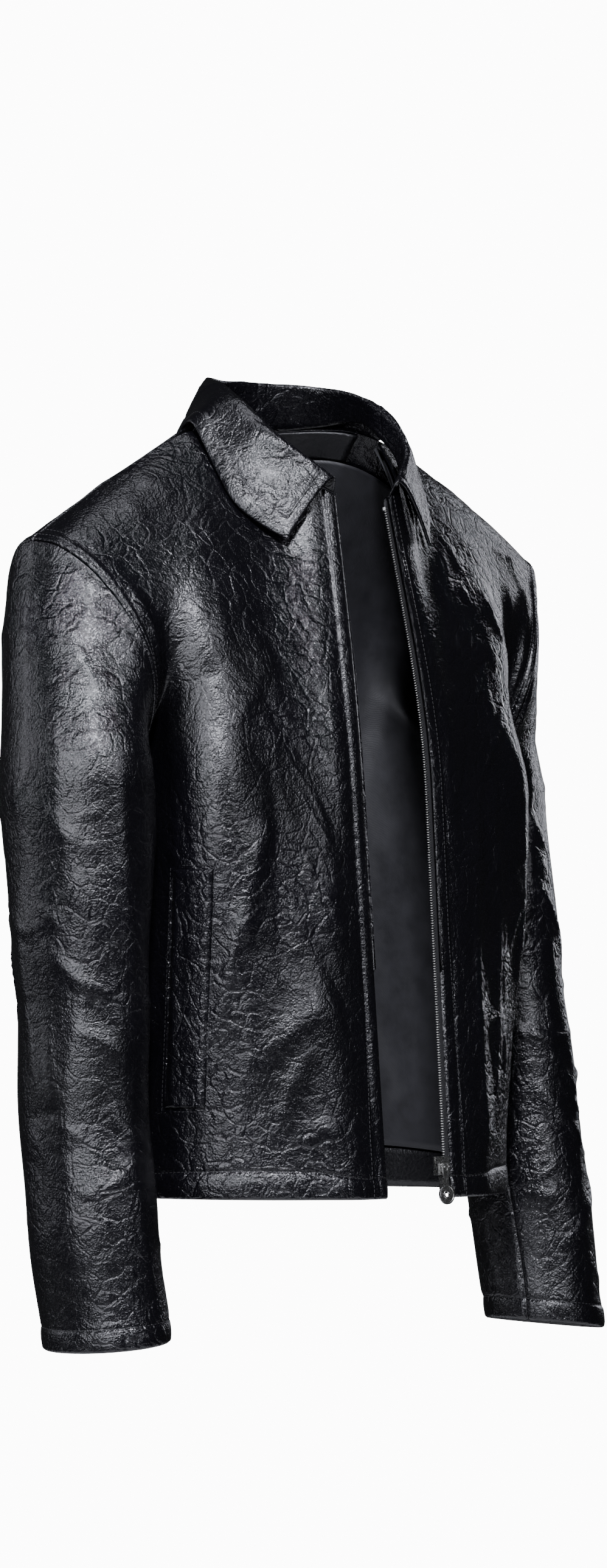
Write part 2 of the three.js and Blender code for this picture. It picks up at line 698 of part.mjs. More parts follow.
// ---------------------------------------------------------------- back
function backPieces() {
  const seam = SEAM_GAP / backWidth;
  add(
    "back_panel",
    sheet(backSurface, {
      a: [-1 + seam, 1 - seam],
      b: [0, 1 - seamV],
      near: 0,
      far: -LEATHER,
    }),
    leather,
  );
  add(
    "hem_turn_back",
    sheet(backSurface, {
      a: [-1 + 3 * seam, 1 - 3 * seam],
      b: [0, hemV],
      near: turnedNear,
      far: turnedFar,
    }),
    leather,
  );
  add(
    "neck_facing",
    sheet(backSurface, {
      a: [-BACK_NECK_SHARE * 0.88, BACK_NECK_SHARE * 0.88],
      b: [1 - neckFacingV, 1 - 4 * seamV],
      near: turnedNear - 0.2,
      far: turnedFar - 0.2,
    }),
    leather,
  );
  add(
    "neck_label",
    sheet(backSurface, {
      a: [-0.1, 0.1],
      b: [1 - neckFacingV * 0.85, 1 - neckFacingV * 0.5],
      near: turnedFar - 2 * PLY_GAP,
      far: turnedFar - 2 * PLY_GAP - FACING,
    }),
    leather,
  );
  add(
    "back_lining",
    sheet(backSurface, {
      a: [-1 + 8 * seam, 1 - 8 * seam],
      b: [hemV + seamV, 1 - neckFacingV - 2 * seamV],
      near: facingNear,
      far: facingNear - LINING,
    }),
    liningCloth,
  );
}

// A short strap under the collar to hang the jacket by.
function hangerLoop() {
  const depth = NECK_BACK + turnedFar - PLY_GAP - 3.2;
  const line = new THREE.QuadraticBezierCurve3(
    v3(-26, depth - 6, -4),
    v3(0, depth - 8, -30),
    v3(26, depth - 6, -4),
  );
  const strap = new THREE.Shape([
    new THREE.Vector2(-2.5, -0.7),
    new THREE.Vector2(2.5, -0.7),
    new THREE.Vector2(2.5, 0.7),
    new THREE.Vector2(-2.5, 0.7),
  ]);
  const options = { steps: 12, bevelEnabled: false, extrudePath: line };
  add("hanger_loop", new THREE.ExtrudeGeometry(strap, options), leather);
}

// ---------------------------------------------------------------- sleeves
function sleevePieces(side, name) {
  const surface = sleeveSurface(side, ARM_SECTIONS[name]);
  const group = new THREE.Group();
  jacket.add(group);
  const back = (BACK_SEAM_ANGLE - 360) / 360;
  const front = FRONT_SEAM_ANGLE / 360;
  const under = { a: [front + seamTurn, BACK_SEAM_ANGLE / 360 - seamTurn] };
  const top = { a: [back + seamTurn, front - seamTurn] };
  const ply = { b: [seamW * 1.5, 1], near: 0, far: -LEATHER };
  add(`sleeve_top_${name}`, sheet(surface, { ...top, ...ply }), leather, group);
  add(`sleeve_under_${name}`, sheet(surface, { ...under, ...ply }), leather, group);
  const round = { a: [back + 2 * seamTurn, back + 1 - 2 * seamTurn] };
  add(
    `cuff_turn_${name}`,
    sheet(surface, {
      ...round,
      b: [1 - cuffW, 1],
      near: turnedNear,
      far: turnedFar,
    }),
    leather,
    group,
  );
  add(
    `sleeve_lining_${name}`,
    sheet(surface, {
      ...round,
      b: [seamW * 12, 1 - cuffW - seamW],
      near: facingNear,
      far: facingNear - LINING,
    }),
    liningCloth,
    group,
  );
}

// ---------------------------------------------------------------- collar
// Lines of the collar, wearer's left half from the front to the back. The leaf's outer edge
// rests on the body: each of its places is a point of a panel with a stand-off.
const foldFront = neckFront.clone().add(v3(3, -6, 11));
const foldHalf = [
  foldFront,
  frontNeck.getPointAt(0.4).add(v3(2, -6, 18)),
  frontNeck.getPointAt(0.75).add(v3(-2, -4, 24)),
  shoulderNeck.clone().add(v3(-12, -2, 24)),
  backNeck.getPointAt(0.6).add(v3(-9, -9, 33)),
  nape.clone().add(v3(0, -8, 40)),
];
// The point of the body nearest to a place, then out from it to where the collar rests.
function restNear(surface, x, y, z, stand = COLLAR_REST) {
  const target = v3(x, y, z);
  let best = [0.5, 0.8];
  let reach = 0.5;
  while (reach > 1e-4) {
    const [u0, v0] = best;
    let nearest = Infinity;
    for (const u of even(u0 - reach, u0 + reach, 12)) {
      for (const v of even(v0 - reach, v0 + reach, 12)) {
        const spot = [clampShare(u), clampShare(v)];
        const distance = surface.at(...spot).distanceTo(target);
        if (distance < nearest) [nearest, best] = [distance, spot];
      }
    }
    reach /= 3;
  }
  return surface.at(...best).addScaledVector(surface.normal(...best), stand);
}
const tipX = neckFront.x + 51;
const leafHalf = [
  restNear(frontSurfaces.left, tipX, -NECK_FRONT - 7, -NECK_FRONT_DROP - 35),
  restNear(frontSurfaces.left, NECK_HALF + 16, -NECK_FRONT * 0.89, -80),
  restNear(frontSurfaces.left, NECK_HALF + 23, -NECK_FRONT * 0.67, -62),
  restNear(frontSurfaces.left, NECK_HALF + 27, -NECK_FRONT * 0.34, -35),
  restNear(frontSurfaces.left, NECK_HALF + 26, 1, -10, COLLAR_REST * 1.7),
  restNear(backSurface, NECK_HALF + 20, NECK_BACK * 0.42, -4, COLLAR_REST * 1.35),
  restNear(backSurface, NECK_HALF * 0.98, NECK_BACK * 0.86, -4),
  restNear(backSurface, NECK_HALF * 0.5, NECK_BACK * 1.12, -6),
  restNear(backSurface, 0, NECK_BACK * 1.2, -7),
];

// Mirrors a half line about the centre plane, so that it runs from the right front to the left.
function bothHalves(half) {
  const right = half.map((p) => v3(-p.x, p.y, p.z));
  const left = half.slice(0, -1).reverse();
  return along([...right, ...left]);
}
const neckHalf = [0, 0.25, 0.5, 0.75].map((t) => frontNeck.getPointAt(t));
const neckLine = bothHalves([
  ...neckHalf,
  shoulderNeck,
  backNeck.getPointAt(0.66),
  backNeck.getPointAt(0.33),
  nape,
]);
const foldLine = bothHalves(foldHalf);
const leafLine = bothHalves(leafHalf);
const collarAxis = () => v3(0, -10, -60);

const collarLines = even(0, 1, 32);
const standShape = {
  at: (t, s) =>
    neckLine.getPointAt(clampShare(t)).lerp(foldLine.getPointAt(clampShare(t)), s),
  axis: (point) => v3(0, -10, point.z),
};
const standSurface = faceted(standShape, collarLines, even(0, 1, 2));
const leafShape = {
  at: (t, s) => {
    const fold = foldLine.getPointAt(clampShare(t));
    const edge = leafLine.getPointAt(clampShare(t));
    const step = v3(edge.x - fold.x, edge.y - fold.y, 0).multiplyScalar(0.22);
    const radial = v3(fold.x, fold.y + 10, 0).setLength(3.5);
    const crest = fold.clone().add(step).add(radial).add(v3(0, 0, 3));
    return new THREE.QuadraticBezierCurve3(fold, crest, edge).getPoint(s);
  },
  axis: collarAxis,
};
const leafSurface = faceted(leafShape, collarLines, even(0, 1, 5));

function collarPieces() {
  add(
    "collar_stand",
    sheet(standSurface, { a: [0.01, 0.99], b: [0.12, 0.72], near: 0, far: -LEATHER }),
    leather,
  );
  const leaf = { a: [0.004, 0.996] };
  add(
    "collar_leaf",
    sheet(leafSurface, { ...leaf, b: [0.02, 1], near: COLLAR_LEATHER, far: 0 }),
    leather,
  );
  add(
    "undercollar",
    sheet(leafSurface, {
      ...leaf,
      b: [0.05, 0.985],
      near: -PLY_GAP,
      far: -PLY_GAP - COLLAR_LEATHER,
    }),
    leather,
  );
}

// ---------------------------------------------------------------- zip
// The rows of teeth run beside the front edges, behind the leather.
const zipDepth = (tapeNear + tapeFar) / 2;
const zipFoot = 17; // hem up to the foot of the teeth
const edgeLength = frontEdge.getLength();
const zipShare = (length) => length / edgeLength;
const chainLow = zipShare(zipFoot);
const chainHigh = 1 - zipShare(6 + STOP_LENGTH);

// The front surface measured in mm from its edge.
const zipSurface = (front) => ({
  at: (mm, v) => front.at(mm / frontWidth, v),
  normal: (mm, v) => front.normal(mm / frontWidth, v),
  linesA: [0],
  linesB: front.linesB,
});

function zipPieces(name) {
  const surface = zipSurface(frontSurfaces[name]);
  const middle = chainPlace[name];
  const chainEdge = middle + CHAIN_WIDTH / 2;
  const tooth = { a: [middle - CHAIN_WIDTH / 2, chainEdge] };
  add(
    `zip_teeth_${name}`,
    sheet(surface, {
      ...tooth,
      b: [chainLow, chainHigh],
      near: zipDepth + CHAIN_THICKNESS / 2,
      far: zipDepth - CHAIN_THICKNESS / 2,
    }),
    silver,
  );
  add(
    `zip_tape_${name}`,
    sheet(surface, {
      a: [chainEdge + PLY_GAP, chainEdge + TAPE_WIDTH],
      b: [zipShare(3), 1 - zipShare(3)],
      near: tapeNear,
      far: tapeFar,
    }),
    tapeCloth,
  );
  add(
    `zip_top_stop_${name}`,
    sheet(surface, {
      ...tooth,
      b: [chainHigh + zipShare(0.5), chainHigh + zipShare(STOP_LENGTH)],
      near: zipDepth + CHAIN_THICKNESS / 2,
      far: zipDepth - CHAIN_THICKNESS / 2,
    }),
    silver,
  );
}

const block = (w, d, h, x = 0, y = 0, z = 0) => new THREE.BoxGeometry(w, d, h).translate(x, y, z);

// The metal at the foot of the left row stands in its own frame: x across, -y outward, z up
// along the teeth, with the origin on the middle line of the teeth.
const zipFrame = new THREE.Group();
const footPoint = stripPoint(-CHAIN_OUT / frontWidth, chainLow);
const frameX = v3(1, 0, 0).addScaledVector(zipLine, -zipLine.x).normalize();
const frameY = zipLine.clone().cross(frameX);
zipFrame.applyMatrix4(new THREE.Matrix4().makeBasis(frameX, frameY, zipLine));
zipFrame.position.copy(footPoint).addScaledVector(frameY, -zipDepth);

const throat = CHAIN_THICKNESS / 2 + SLIDER_CLEARANCE; // half the space between the plates
const sliderPost = 0.9; // half the width of the post between the slider's two channels
const sliderMiddle = -(CHAIN_WIDTH / 2 + SLIDER_CLEARANCE + sliderPost);
const sliderWidth = 2 * (sliderPost + CHAIN_WIDTH + 2 * SLIDER_CLEARANCE + SLIDER_WALL);
const sliderRise = SLIDER_LENGTH / 2 + 0.6;
const tapeSlot = TAPE + 2 * SLIDER_CLEARANCE;

function sliderBody() {
  const plateY = throat + SLIDER_PLATE / 2;
  const wallHeight = throat - tapeSlot / 2;
  const wallX = (sliderWidth - SLIDER_WALL) / 2;
  const wallY = tapeSlot / 2 + wallHeight / 2;
  const overlap = 0.2;
  const pieces = [block(2 * sliderPost, 2 * throat + overlap, 5.5, 0, 0, SLIDER_LENGTH / 2 - 2.75)];
  for (const face of [-1, 1]) {
    pieces.push(block(sliderWidth, SLIDER_PLATE, SLIDER_LENGTH, 0, face * plateY, 0));
    for (const edge of [-1, 1]) {
      const wall = [SLIDER_WALL, wallHeight + overlap, SLIDER_LENGTH];
      pieces.push(block(...wall, edge * wallX, face * (wallY + overlap / 2), 0));
    }
  }
  return join(...pieces).translate(sliderMiddle, 0, sliderRise);
}

// The lug on the slider's face carries a pin, and the fork of the pull turns on the pin's ends.
const faceY = -(throat + SLIDER_PLATE);
const pullHinge = v3(sliderMiddle, faceY - EYE_RADIUS - PLY_GAP, sliderRise);
const crossPin = (radius, length) =>
  new THREE.CylinderGeometry(radius, radius, length, 14)
    .rotateZ(Math.PI / 2)
    .translate(pullHinge.x, pullHinge.y, pullHinge.z);

function sliderBridge() {
  const foot = faceY - PLY_GAP;
  const top = pullHinge.y - PIN_RADIUS - 0.5;
  const lug = block(LUG_WIDTH, foot - top, LUG_LENGTH, sliderMiddle, (foot + top) / 2, sliderRise);
  return join(lug, crossPin(PIN_RADIUS, STEM_WIDTH + 0.4));
}

// The pull: a forked stem whose arms end in eyes on the pin.
function pullStem() {
  const half = STEM_WIDTH / 2;
  const gap = LUG_WIDTH / 2 + PLY_GAP; // half the space between the arms
  const eyes = crossPin(EYE_RADIUS, STEM_WIDTH);
  const outline = new THREE.Shape();
  outline.moveTo(-half * 0.55, -STEM_LENGTH);
  outline.lineTo(half * 0.55, -STEM_LENGTH);
  outline.lineTo(half, -5.5);
  outline.lineTo(half, 0);
  outline.lineTo(-half, 0);
  outline.lineTo(-half, -5.5);
  outline.closePath();
  const plate = new THREE.ExtrudeGeometry(outline, { depth: STEM_THICKNESS, bevelEnabled: false })
    .translate(0, 0, -STEM_THICKNESS / 2)
    .rotateX(Math.PI / 2)
    .translate(pullHinge.x, pullHinge.y, pullHinge.z);
  const fork = block(2 * gap, 8, 9, pullHinge.x, pullHinge.y, pullHinge.z + 0.5);
  const hole = crossPin(PIN_RADIUS + 0.3, STEM_WIDTH + 2);
  return cut(join(plate, eyes), fork, hole);
}

function pullDisc() {
  const rim = 1.3;
  const hole = 2.1;
  const half = DISC_THICKNESS / 2;
  const face = half - 0.35; // the face is sunk between the rim and the boss
  const profile = [
    [hole, -half],
    [hole + 1.1, -half],
    [hole + 1.1, -face],
    [DISC_RADIUS - rim, -face],
    [DISC_RADIUS - rim, -half],
    [DISC_RADIUS, -half * 0.6],
    [DISC_RADIUS, half * 0.6],
    [DISC_RADIUS - rim, half],
    [DISC_RADIUS - rim, face],
    [hole + 1.1, face],
    [hole + 1.1, half],
    [hole, half],
    [hole, -half],
  ].map(([x, y]) => new THREE.Vector2(x, y));
  const disc = new THREE.LatheGeometry(profile, 20);
  return disc.translate(
    pullHinge.x,
    pullHinge.y,
    pullHinge.z - STEM_LENGTH - DISC_RADIUS - 0.4,
  );
}

function retainerBox() {
  const depth = CHAIN_THICKNESS + 2 * SLIDER_PLATE;
  const shell = block(6.4, depth, BOX_LENGTH, sliderMiddle + 1.75, 0, -BOX_LENGTH / 2 - 0.4);
  const channel = block(2.4, CHAIN_THICKNESS, BOX_LENGTH - 2, sliderMiddle + 0.2, 0, -BOX_LENGTH / 2 + 0.8);
  return cut(shell, channel);
}

function footMetal() {
  zipFrame.updateMatrixWorld(true);
  jacket.add(zipFrame);
  add("zip_slider", sliderBody(), silver, zipFrame);
  add("zip_slider_bridge", sliderBridge(), silver, zipFrame);
  add("zip_pull_stem", pullStem(), silver, zipFrame);
  add("zip_pull_disc", pullDisc(), silver, zipFrame);
  add("zip_retainer_box", retainerBox(), silver, zipFrame);
}

// The insertion pin at the foot of the right row of teeth.
function insertionPin() {
  const surface = zipSurface(frontSurfaces.right);
  const middle = chainPlace.right;
  const high = chainLow - zipShare(PLY_GAP);
  const pin = { a: [middle - 1, middle + 1], b: [high - zipShare(12), high] };
  add("zip_insertion_pin", sheet(surface, { ...pin, near: zipDepth + 0.9, far: zipDepth - 0.9 }), silver);
}

// ---------------------------------------------------------------- the whole jacket
const SIDES = [
  [-1, "right"],
  [1, "left"],
];
for (const [side, name] of SIDES) {
  frontPieces(name);
  sleevePieces(side, name);
  zipPieces(name);
}
backPieces();
hangerLoop();
collarPieces();
footMetal();
insertionPin();

export default jacket;
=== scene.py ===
# %% [markdown]
# # A black leather zip jacket, hanging as it is worn
# The solid model gives every piece its place and size. This lesson gives the pieces their
# looks: hide with folds and grain, turned edges, stitches, a metal zip and a black lining.
# The first cell loads the solid model, whose objects stay where they are.

# %% Load the solid model
import math
import bpy
import numpy as np
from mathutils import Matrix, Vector


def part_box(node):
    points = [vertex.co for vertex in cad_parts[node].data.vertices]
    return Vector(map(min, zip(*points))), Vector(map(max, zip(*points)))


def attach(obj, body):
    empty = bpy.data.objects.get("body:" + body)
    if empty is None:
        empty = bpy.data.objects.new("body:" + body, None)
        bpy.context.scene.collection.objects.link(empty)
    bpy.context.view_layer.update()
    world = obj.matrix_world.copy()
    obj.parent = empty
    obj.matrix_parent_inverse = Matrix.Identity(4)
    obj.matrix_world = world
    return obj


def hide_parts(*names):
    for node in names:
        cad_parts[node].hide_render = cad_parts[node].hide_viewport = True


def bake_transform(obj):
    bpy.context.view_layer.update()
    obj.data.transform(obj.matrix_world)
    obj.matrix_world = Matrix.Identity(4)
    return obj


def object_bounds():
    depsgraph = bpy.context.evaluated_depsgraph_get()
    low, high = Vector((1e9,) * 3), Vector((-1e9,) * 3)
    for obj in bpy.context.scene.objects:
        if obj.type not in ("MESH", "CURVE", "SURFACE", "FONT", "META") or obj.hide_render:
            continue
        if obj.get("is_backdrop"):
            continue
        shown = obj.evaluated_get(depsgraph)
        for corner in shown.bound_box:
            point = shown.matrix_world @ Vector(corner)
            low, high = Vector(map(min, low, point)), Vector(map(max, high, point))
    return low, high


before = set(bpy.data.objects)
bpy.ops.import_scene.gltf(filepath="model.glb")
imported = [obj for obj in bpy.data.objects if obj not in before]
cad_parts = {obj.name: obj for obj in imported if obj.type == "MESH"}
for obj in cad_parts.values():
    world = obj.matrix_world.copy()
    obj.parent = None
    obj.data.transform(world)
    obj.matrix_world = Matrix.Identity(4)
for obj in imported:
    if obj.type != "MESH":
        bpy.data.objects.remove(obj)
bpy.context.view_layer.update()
MM = 0.001

# %% [markdown]
# ## Camera, light and floor
# The jacket is looked at from its right front, level with the chest, through a long lens.
# A long lens keeps the near and the far sleeve almost the same size. Gloss is what makes
# black leather readable, so the light comes from seven soft panels with dark between them:
# each one draws a band of sheen, and the dark gaps keep the hide black.

# %% Camera
SENSOR_WIDTH, LENS_LENGTH = 36, 148.975  # mm
CAMERA_DISTANCE, CAMERA_LEVEL = 5.2, -0.425  # m
AIM_RIGHT, AIM_UP = 0.0022514, 0.0271107  # turn of the lens from straight ahead, in radians
forward = Vector((0.643, 0.766, 0)).normalized()
rightward = Vector((forward.y, -forward.x, 0))
camera = bpy.data.objects.new("camera", bpy.data.cameras.new("camera"))
bpy.context.collection.objects.link(camera)
camera.data.sensor_width = SENSOR_WIDTH
camera.data.lens = LENS_LENGTH
camera.location = -forward * CAMERA_DISTANCE + Vector((0, 0, CAMERA_LEVEL))
aim = forward + rightward * AIM_RIGHT + Vector((0, 0, AIM_UP))
camera.rotation_euler = aim.to_track_quat("-Z", "Y").to_euler()
bpy.context.scene.camera = camera
print("camera at", [round(v, 3) for v in camera.location])


# %% Lights and floor
LAMP_COLOUR = (0.9, 0.91, 1.0)  # slightly blue
BACKDROP, AROUND = 12, 0.03  # brightness of the world for the camera, and for the hide
FLOOR_LEVEL, FLOOR_RADIUS = -1.45, 1.5


def softbox(name, place, target, width, height, power):
    lamp = bpy.data.lights.new(name, "AREA")
    lamp.shape = "RECTANGLE"
    lamp.size = width
    lamp.size_y = height
    lamp.energy = power
    lamp.color = LAMP_COLOUR
    obj = bpy.data.objects.new(name, lamp)
    obj.location = place
    obj.rotation_euler = (Vector(target) - Vector(place)).to_track_quat("-Z", "Y").to_euler()
    bpy.context.collection.objects.link(obj)
    return obj


softbox("key_panel", (-2.2, -2.6, 2.1), (0, 0, -0.3), 0.45, 0.65, 240)
softbox("side_strip", (-3.1, -0.5, 0.5), (0, 0, -0.4), 0.25, 1.8, 42)
softbox("side_fill", (-2.9, -1.35, 0.3), (0, 0, -0.4), 0.4, 1.6, 42)
softbox("front_strip", (-0.5, -3.3, 0.9), (0, 0, -0.3), 0.25, 1.4, 40)
softbox("top_panel", (-0.3, -0.4, 2.3), (0, 0, -0.3), 0.8, 0.5, 16)
softbox("left_rim_panel", (2.9, 0.9, 0.5), (0, 0, -0.4), 0.25, 1.8, 14)
softbox("right_rim_panel", (-2.0, 2.3, 0.4), (0, 0, -0.4), 0.3, 2.0, 18)

world = bpy.data.worlds.new("studio")
world.use_nodes = True
bpy.context.scene.world = world
tree = world.node_tree
tree.nodes.clear()
seen = tree.nodes.new("ShaderNodeBackground")
seen.inputs["Color"].default_value = (1, 1, 1, 1)
around = tree.nodes.new("ShaderNodeBackground")
around.inputs["Color"].default_value = (0.95, 0.97, 1, 1)
around.inputs["Strength"].default_value = AROUND
seen.inputs["Strength"].default_value = BACKDROP
rays = tree.nodes.new("ShaderNodeLightPath")
choose = tree.nodes.new("ShaderNodeMixShader")
out = tree.nodes.new("ShaderNodeOutputWorld")
tree.links.new(rays.outputs["Is Camera Ray"], choose.inputs["Fac"])
tree.links.new(around.outputs[0], choose.inputs[1])
tree.links.new(seen.outputs[0], choose.inputs[2])
tree.links.new(choose.outputs[0], out.inputs["Surface"])

bpy.ops.mesh.primitive_circle_add(
    vertices=64, radius=FLOOR_RADIUS, fill_type="NGON", location=(0, 0, FLOOR_LEVEL))
floor = bpy.context.object
floor.name = "floor"
floor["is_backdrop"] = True

# %% [markdown]
# ## Materials
# Leather is a near-black base under a thin glossy finish. Its gloss is never even: fine
# pores and a pebbled grain break each highlight into glitter, creases run through it, and
# handling polishes some places. All of that goes into bump and roughness; the colour
# changes only a little. Patterns read Object coordinates, so they stay put on the hide.


# %% Node helpers
def new_material(name):
    material = bpy.data.materials.new(name)
    material.use_nodes = True
    shader = material.node_tree.nodes["Principled BSDF"]
    return material, material.node_tree, shader


def place_scaled(tree, scale):
    coordinates = tree.nodes.new("ShaderNodeTexCoord")
    mapping = tree.nodes.new("ShaderNodeMapping")
    mapping.inputs["Scale"].default_value = scale
    tree.links.new(coordinates.outputs["Object"], mapping.inputs["Vector"])
    return mapping.outputs[0]


def noise(tree, vector, scale, detail=3.0, roughness=0.5, distortion=0.0):
    node = tree.nodes.new("ShaderNodeTexNoise")
    node.inputs["Scale"].default_value = scale
    node.inputs["Detail"].default_value = detail
    node.inputs["Roughness"].default_value = roughness
    node.inputs["Distortion"].default_value = distortion
    tree.links.new(vector, node.inputs["Vector"])
    return node.outputs["Fac"]


def ramp(tree, value, stops):
    node = tree.nodes.new("ShaderNodeValToRGB")
    while len(node.color_ramp.elements) < len(stops):
        node.color_ramp.elements.new(0.5)
    for element, (position, colour) in zip(node.color_ramp.elements, stops):
        element.position = position
        grey = colour if isinstance(colour, tuple) else (colour, colour, colour)
        element.color = (*grey, 1)
    tree.links.new(value, node.inputs["Fac"])
    return node.outputs["Color"]


def remap(tree, value, low, high, to_low, to_high):
    node = tree.nodes.new("ShaderNodeMapRange")
    for name, number in zip(("From Min", "From Max", "To Min", "To Max"), (low, high, to_low, to_high)):
        node.inputs[name].default_value = number
    tree.links.new(value, node.inputs["Value"])
    return node.outputs[0]


def bump(tree, height, distance, strength=1.0, under=None):
    node = tree.nodes.new("ShaderNodeBump")
    node.inputs["Distance"].default_value = distance
    node.inputs["Strength"].default_value = strength
    tree.links.new(height, node.inputs["Height"])
    if under:
        tree.links.new(under, node.inputs["Normal"])
    return node.outputs["Normal"]


print("node helpers ready")


# %% Leather
def leather_material(name, gloss, grain, crinkle):
    material, tree, shader = new_material(name)
    here = place_scaled(tree, (1, 1, 1))
    # crinkles: dimples of 5 to 15 mm that come in patches
    patches = noise(tree, here, 9, 3, 0.6)
    dimples = noise(tree, here, 95, 4, 0.62, 0.9)
    small = noise(tree, here, 240, 3, 0.6, 0.6)
    # grain: pebbles of about 1.5 mm with finer grit on them
    pebbles = tree.nodes.new("ShaderNodeTexVoronoi")
    pebbles.inputs["Scale"].default_value = 620
    tree.links.new(here, pebbles.inputs["Vector"])
    grit = noise(tree, here, 1300, 3, 0.7, 0.4)
    masked = tree.nodes.new("ShaderNodeMath")
    masked.operation = "MULTIPLY"
    tree.links.new(dimples, masked.inputs[0])
    tree.links.new(remap(tree, patches, 0.42, 0.62, 0.35, 1.0), masked.inputs[1])
    normal = bump(tree, masked.outputs[0], 0.0030 * crinkle, 0.55)
    normal = bump(tree, small, 0.0009 * crinkle, 0.5, normal)
    # wrinkles: a net of fine creases, pulled out of shape by a slow noise
    slow = tree.nodes.new("ShaderNodeTexNoise")
    slow.inputs["Scale"].default_value = 28
    tree.links.new(here, slow.inputs["Vector"])
    pulled = tree.nodes.new("ShaderNodeVectorMath")
    pulled.operation = "MULTIPLY_ADD"
    pulled.inputs[1].default_value = (0.03, 0.03, 0.03)
    tree.links.new(slow.outputs["Color"], pulled.inputs[0])
    tree.links.new(here, pulled.inputs[2])
    net = tree.nodes.new("ShaderNodeTexVoronoi")
    net.feature = "DISTANCE_TO_EDGE"
    net.inputs["Scale"].default_value = 62
    tree.links.new(pulled.outputs[0], net.inputs["Vector"])
    wrinkles = tree.nodes.new("ShaderNodeMath")
    wrinkles.operation = "MULTIPLY"
    tree.links.new(remap(tree, net.outputs["Distance"], 0, 0.1, 0, 1), wrinkles.inputs[0])
    tree.links.new(remap(tree, patches, 0.42, 0.6, 0.4, 1.0), wrinkles.inputs[1])
    normal = bump(tree, wrinkles.outputs[0], 0.0009 * crinkle, 0.5, normal)
    normal = bump(tree, pebbles.outputs["Distance"], 0.00034 * grain, 0.65, normal)
    normal = bump(tree, grit, 0.00015 * grain, 0.7, normal)
    tree.links.new(normal, shader.inputs["Normal"])
    # gloss: pits are dull, the tops of the grain are polished
    rub = noise(tree, here, 420, 2, 0.6)
    worn = tree.nodes.new("ShaderNodeMath")
    worn.operation = "MULTIPLY"
    tree.links.new(rub, worn.inputs[0])
    tree.links.new(patches, worn.inputs[1])
    rough = remap(tree, worn.outputs[0], 0.12, 0.36, gloss + 0.09, gloss - 0.07)
    tree.links.new(rough, shader.inputs["Roughness"])
    tone = ramp(tree, patches, [(0.3, (0.0016, 0.0016, 0.0022)), (0.7, (0.0034, 0.0032, 0.0046))])
    tree.links.new(tone, shader.inputs["Base Color"])
    shader.inputs["Specular IOR Level"].default_value = 0.5
    shader.inputs["Coat Weight"].default_value = 0.05
    shader.inputs["Coat Roughness"].default_value = 0.2
    return material


hide = leather_material("black_hide", 0.2, 1.0, 1.0)
soft_hide = leather_material("black_hide_facing", 0.42, 0.8, 0.5)
print("leather", len(hide.node_tree.nodes), "nodes")


# %% Lining, tape, thread and metal
def cloth_material(name, colour, rough, threads, depth):
    material, tree, shader = new_material(name)
    here = place_scaled(tree, (threads, threads, threads))
    weave = tree.nodes.new("ShaderNodeTexWave")
    weave.bands_direction = "DIAGONAL"
    weave.inputs["Scale"].default_value = 1
    weave.inputs["Distortion"].default_value = 0.6
    tree.links.new(here, weave.inputs["Vector"])
    slub = noise(tree, place_scaled(tree, (60, 60, 60)), 1, 3)
    tree.links.new(remap(tree, slub, 0.3, 0.7, rough - 0.05, rough + 0.08), shader.inputs["Roughness"])
    tone = ramp(tree, slub, [(0.3, colour), (0.7, tuple(c * 1.5 for c in colour))])
    tree.links.new(tone, shader.inputs["Base Color"])
    normal = bump(tree, weave.outputs["Fac"], depth, 0.5)
    normal = bump(tree, noise(tree, place_scaled(tree, (1, 1, 1)), 35, 3), 0.002, 0.35, normal)
    tree.links.new(normal, shader.inputs["Normal"])
    return material, shader


lining_cloth, lining_shader = cloth_material("lining_cloth", (0.009, 0.009, 0.011), 0.55, 900, 0.00008)
lining_shader.inputs["Sheen Weight"].default_value = 0.04
tape_cloth, _ = cloth_material("zip_tape_cloth", (0.008, 0.008, 0.009), 0.85, 1400, 0.00015)
thread, _ = cloth_material("black_thread", (0.012, 0.012, 0.013), 0.5, 3000, 0.00005)

silver, tree, shader = new_material("zip_silver")
here = place_scaled(tree, (1, 1, 1))
worn = noise(tree, here, 700, 3, 0.6)
tone = ramp(tree, worn, [(0.3, (0.62, 0.62, 0.60)), (0.6, (0.86, 0.86, 0.84))])
tree.links.new(tone, shader.inputs["Base Color"])
tree.links.new(remap(tree, worn, 0.3, 0.7, 0.16, 0.32), shader.inputs["Roughness"])
tree.links.new(bump(tree, noise(tree, here, 2500, 2), 0.00003, 0.4), shader.inputs["Normal"])
shader.inputs["Metallic"].default_value = 1

floor_paint, tree, shader = new_material("pale_floor")
speck = noise(tree, place_scaled(tree, (1, 1, 1)), 40, 4)
tree.links.new(ramp(tree, speck, [(0.3, 0.78), (0.7, 0.84)]), shader.inputs["Base Color"])
shader.inputs["Roughness"].default_value = 0.7
floor.data.materials.append(floor_paint)
print("materials", [m.name for m in bpy.data.materials if m.users])

# %% [markdown]
# ## The pattern pieces as surfaces
# A garment is curved sheets joined at seams. Each panel is a surface with two shares: one
# across the panel and one from the hem up. The seam lines are the same curves as in the
# solid model, in millimetres, so the hide lies where the solids are. The shapes are worked
# out with numpy, because a whole panel can then be placed in one step.

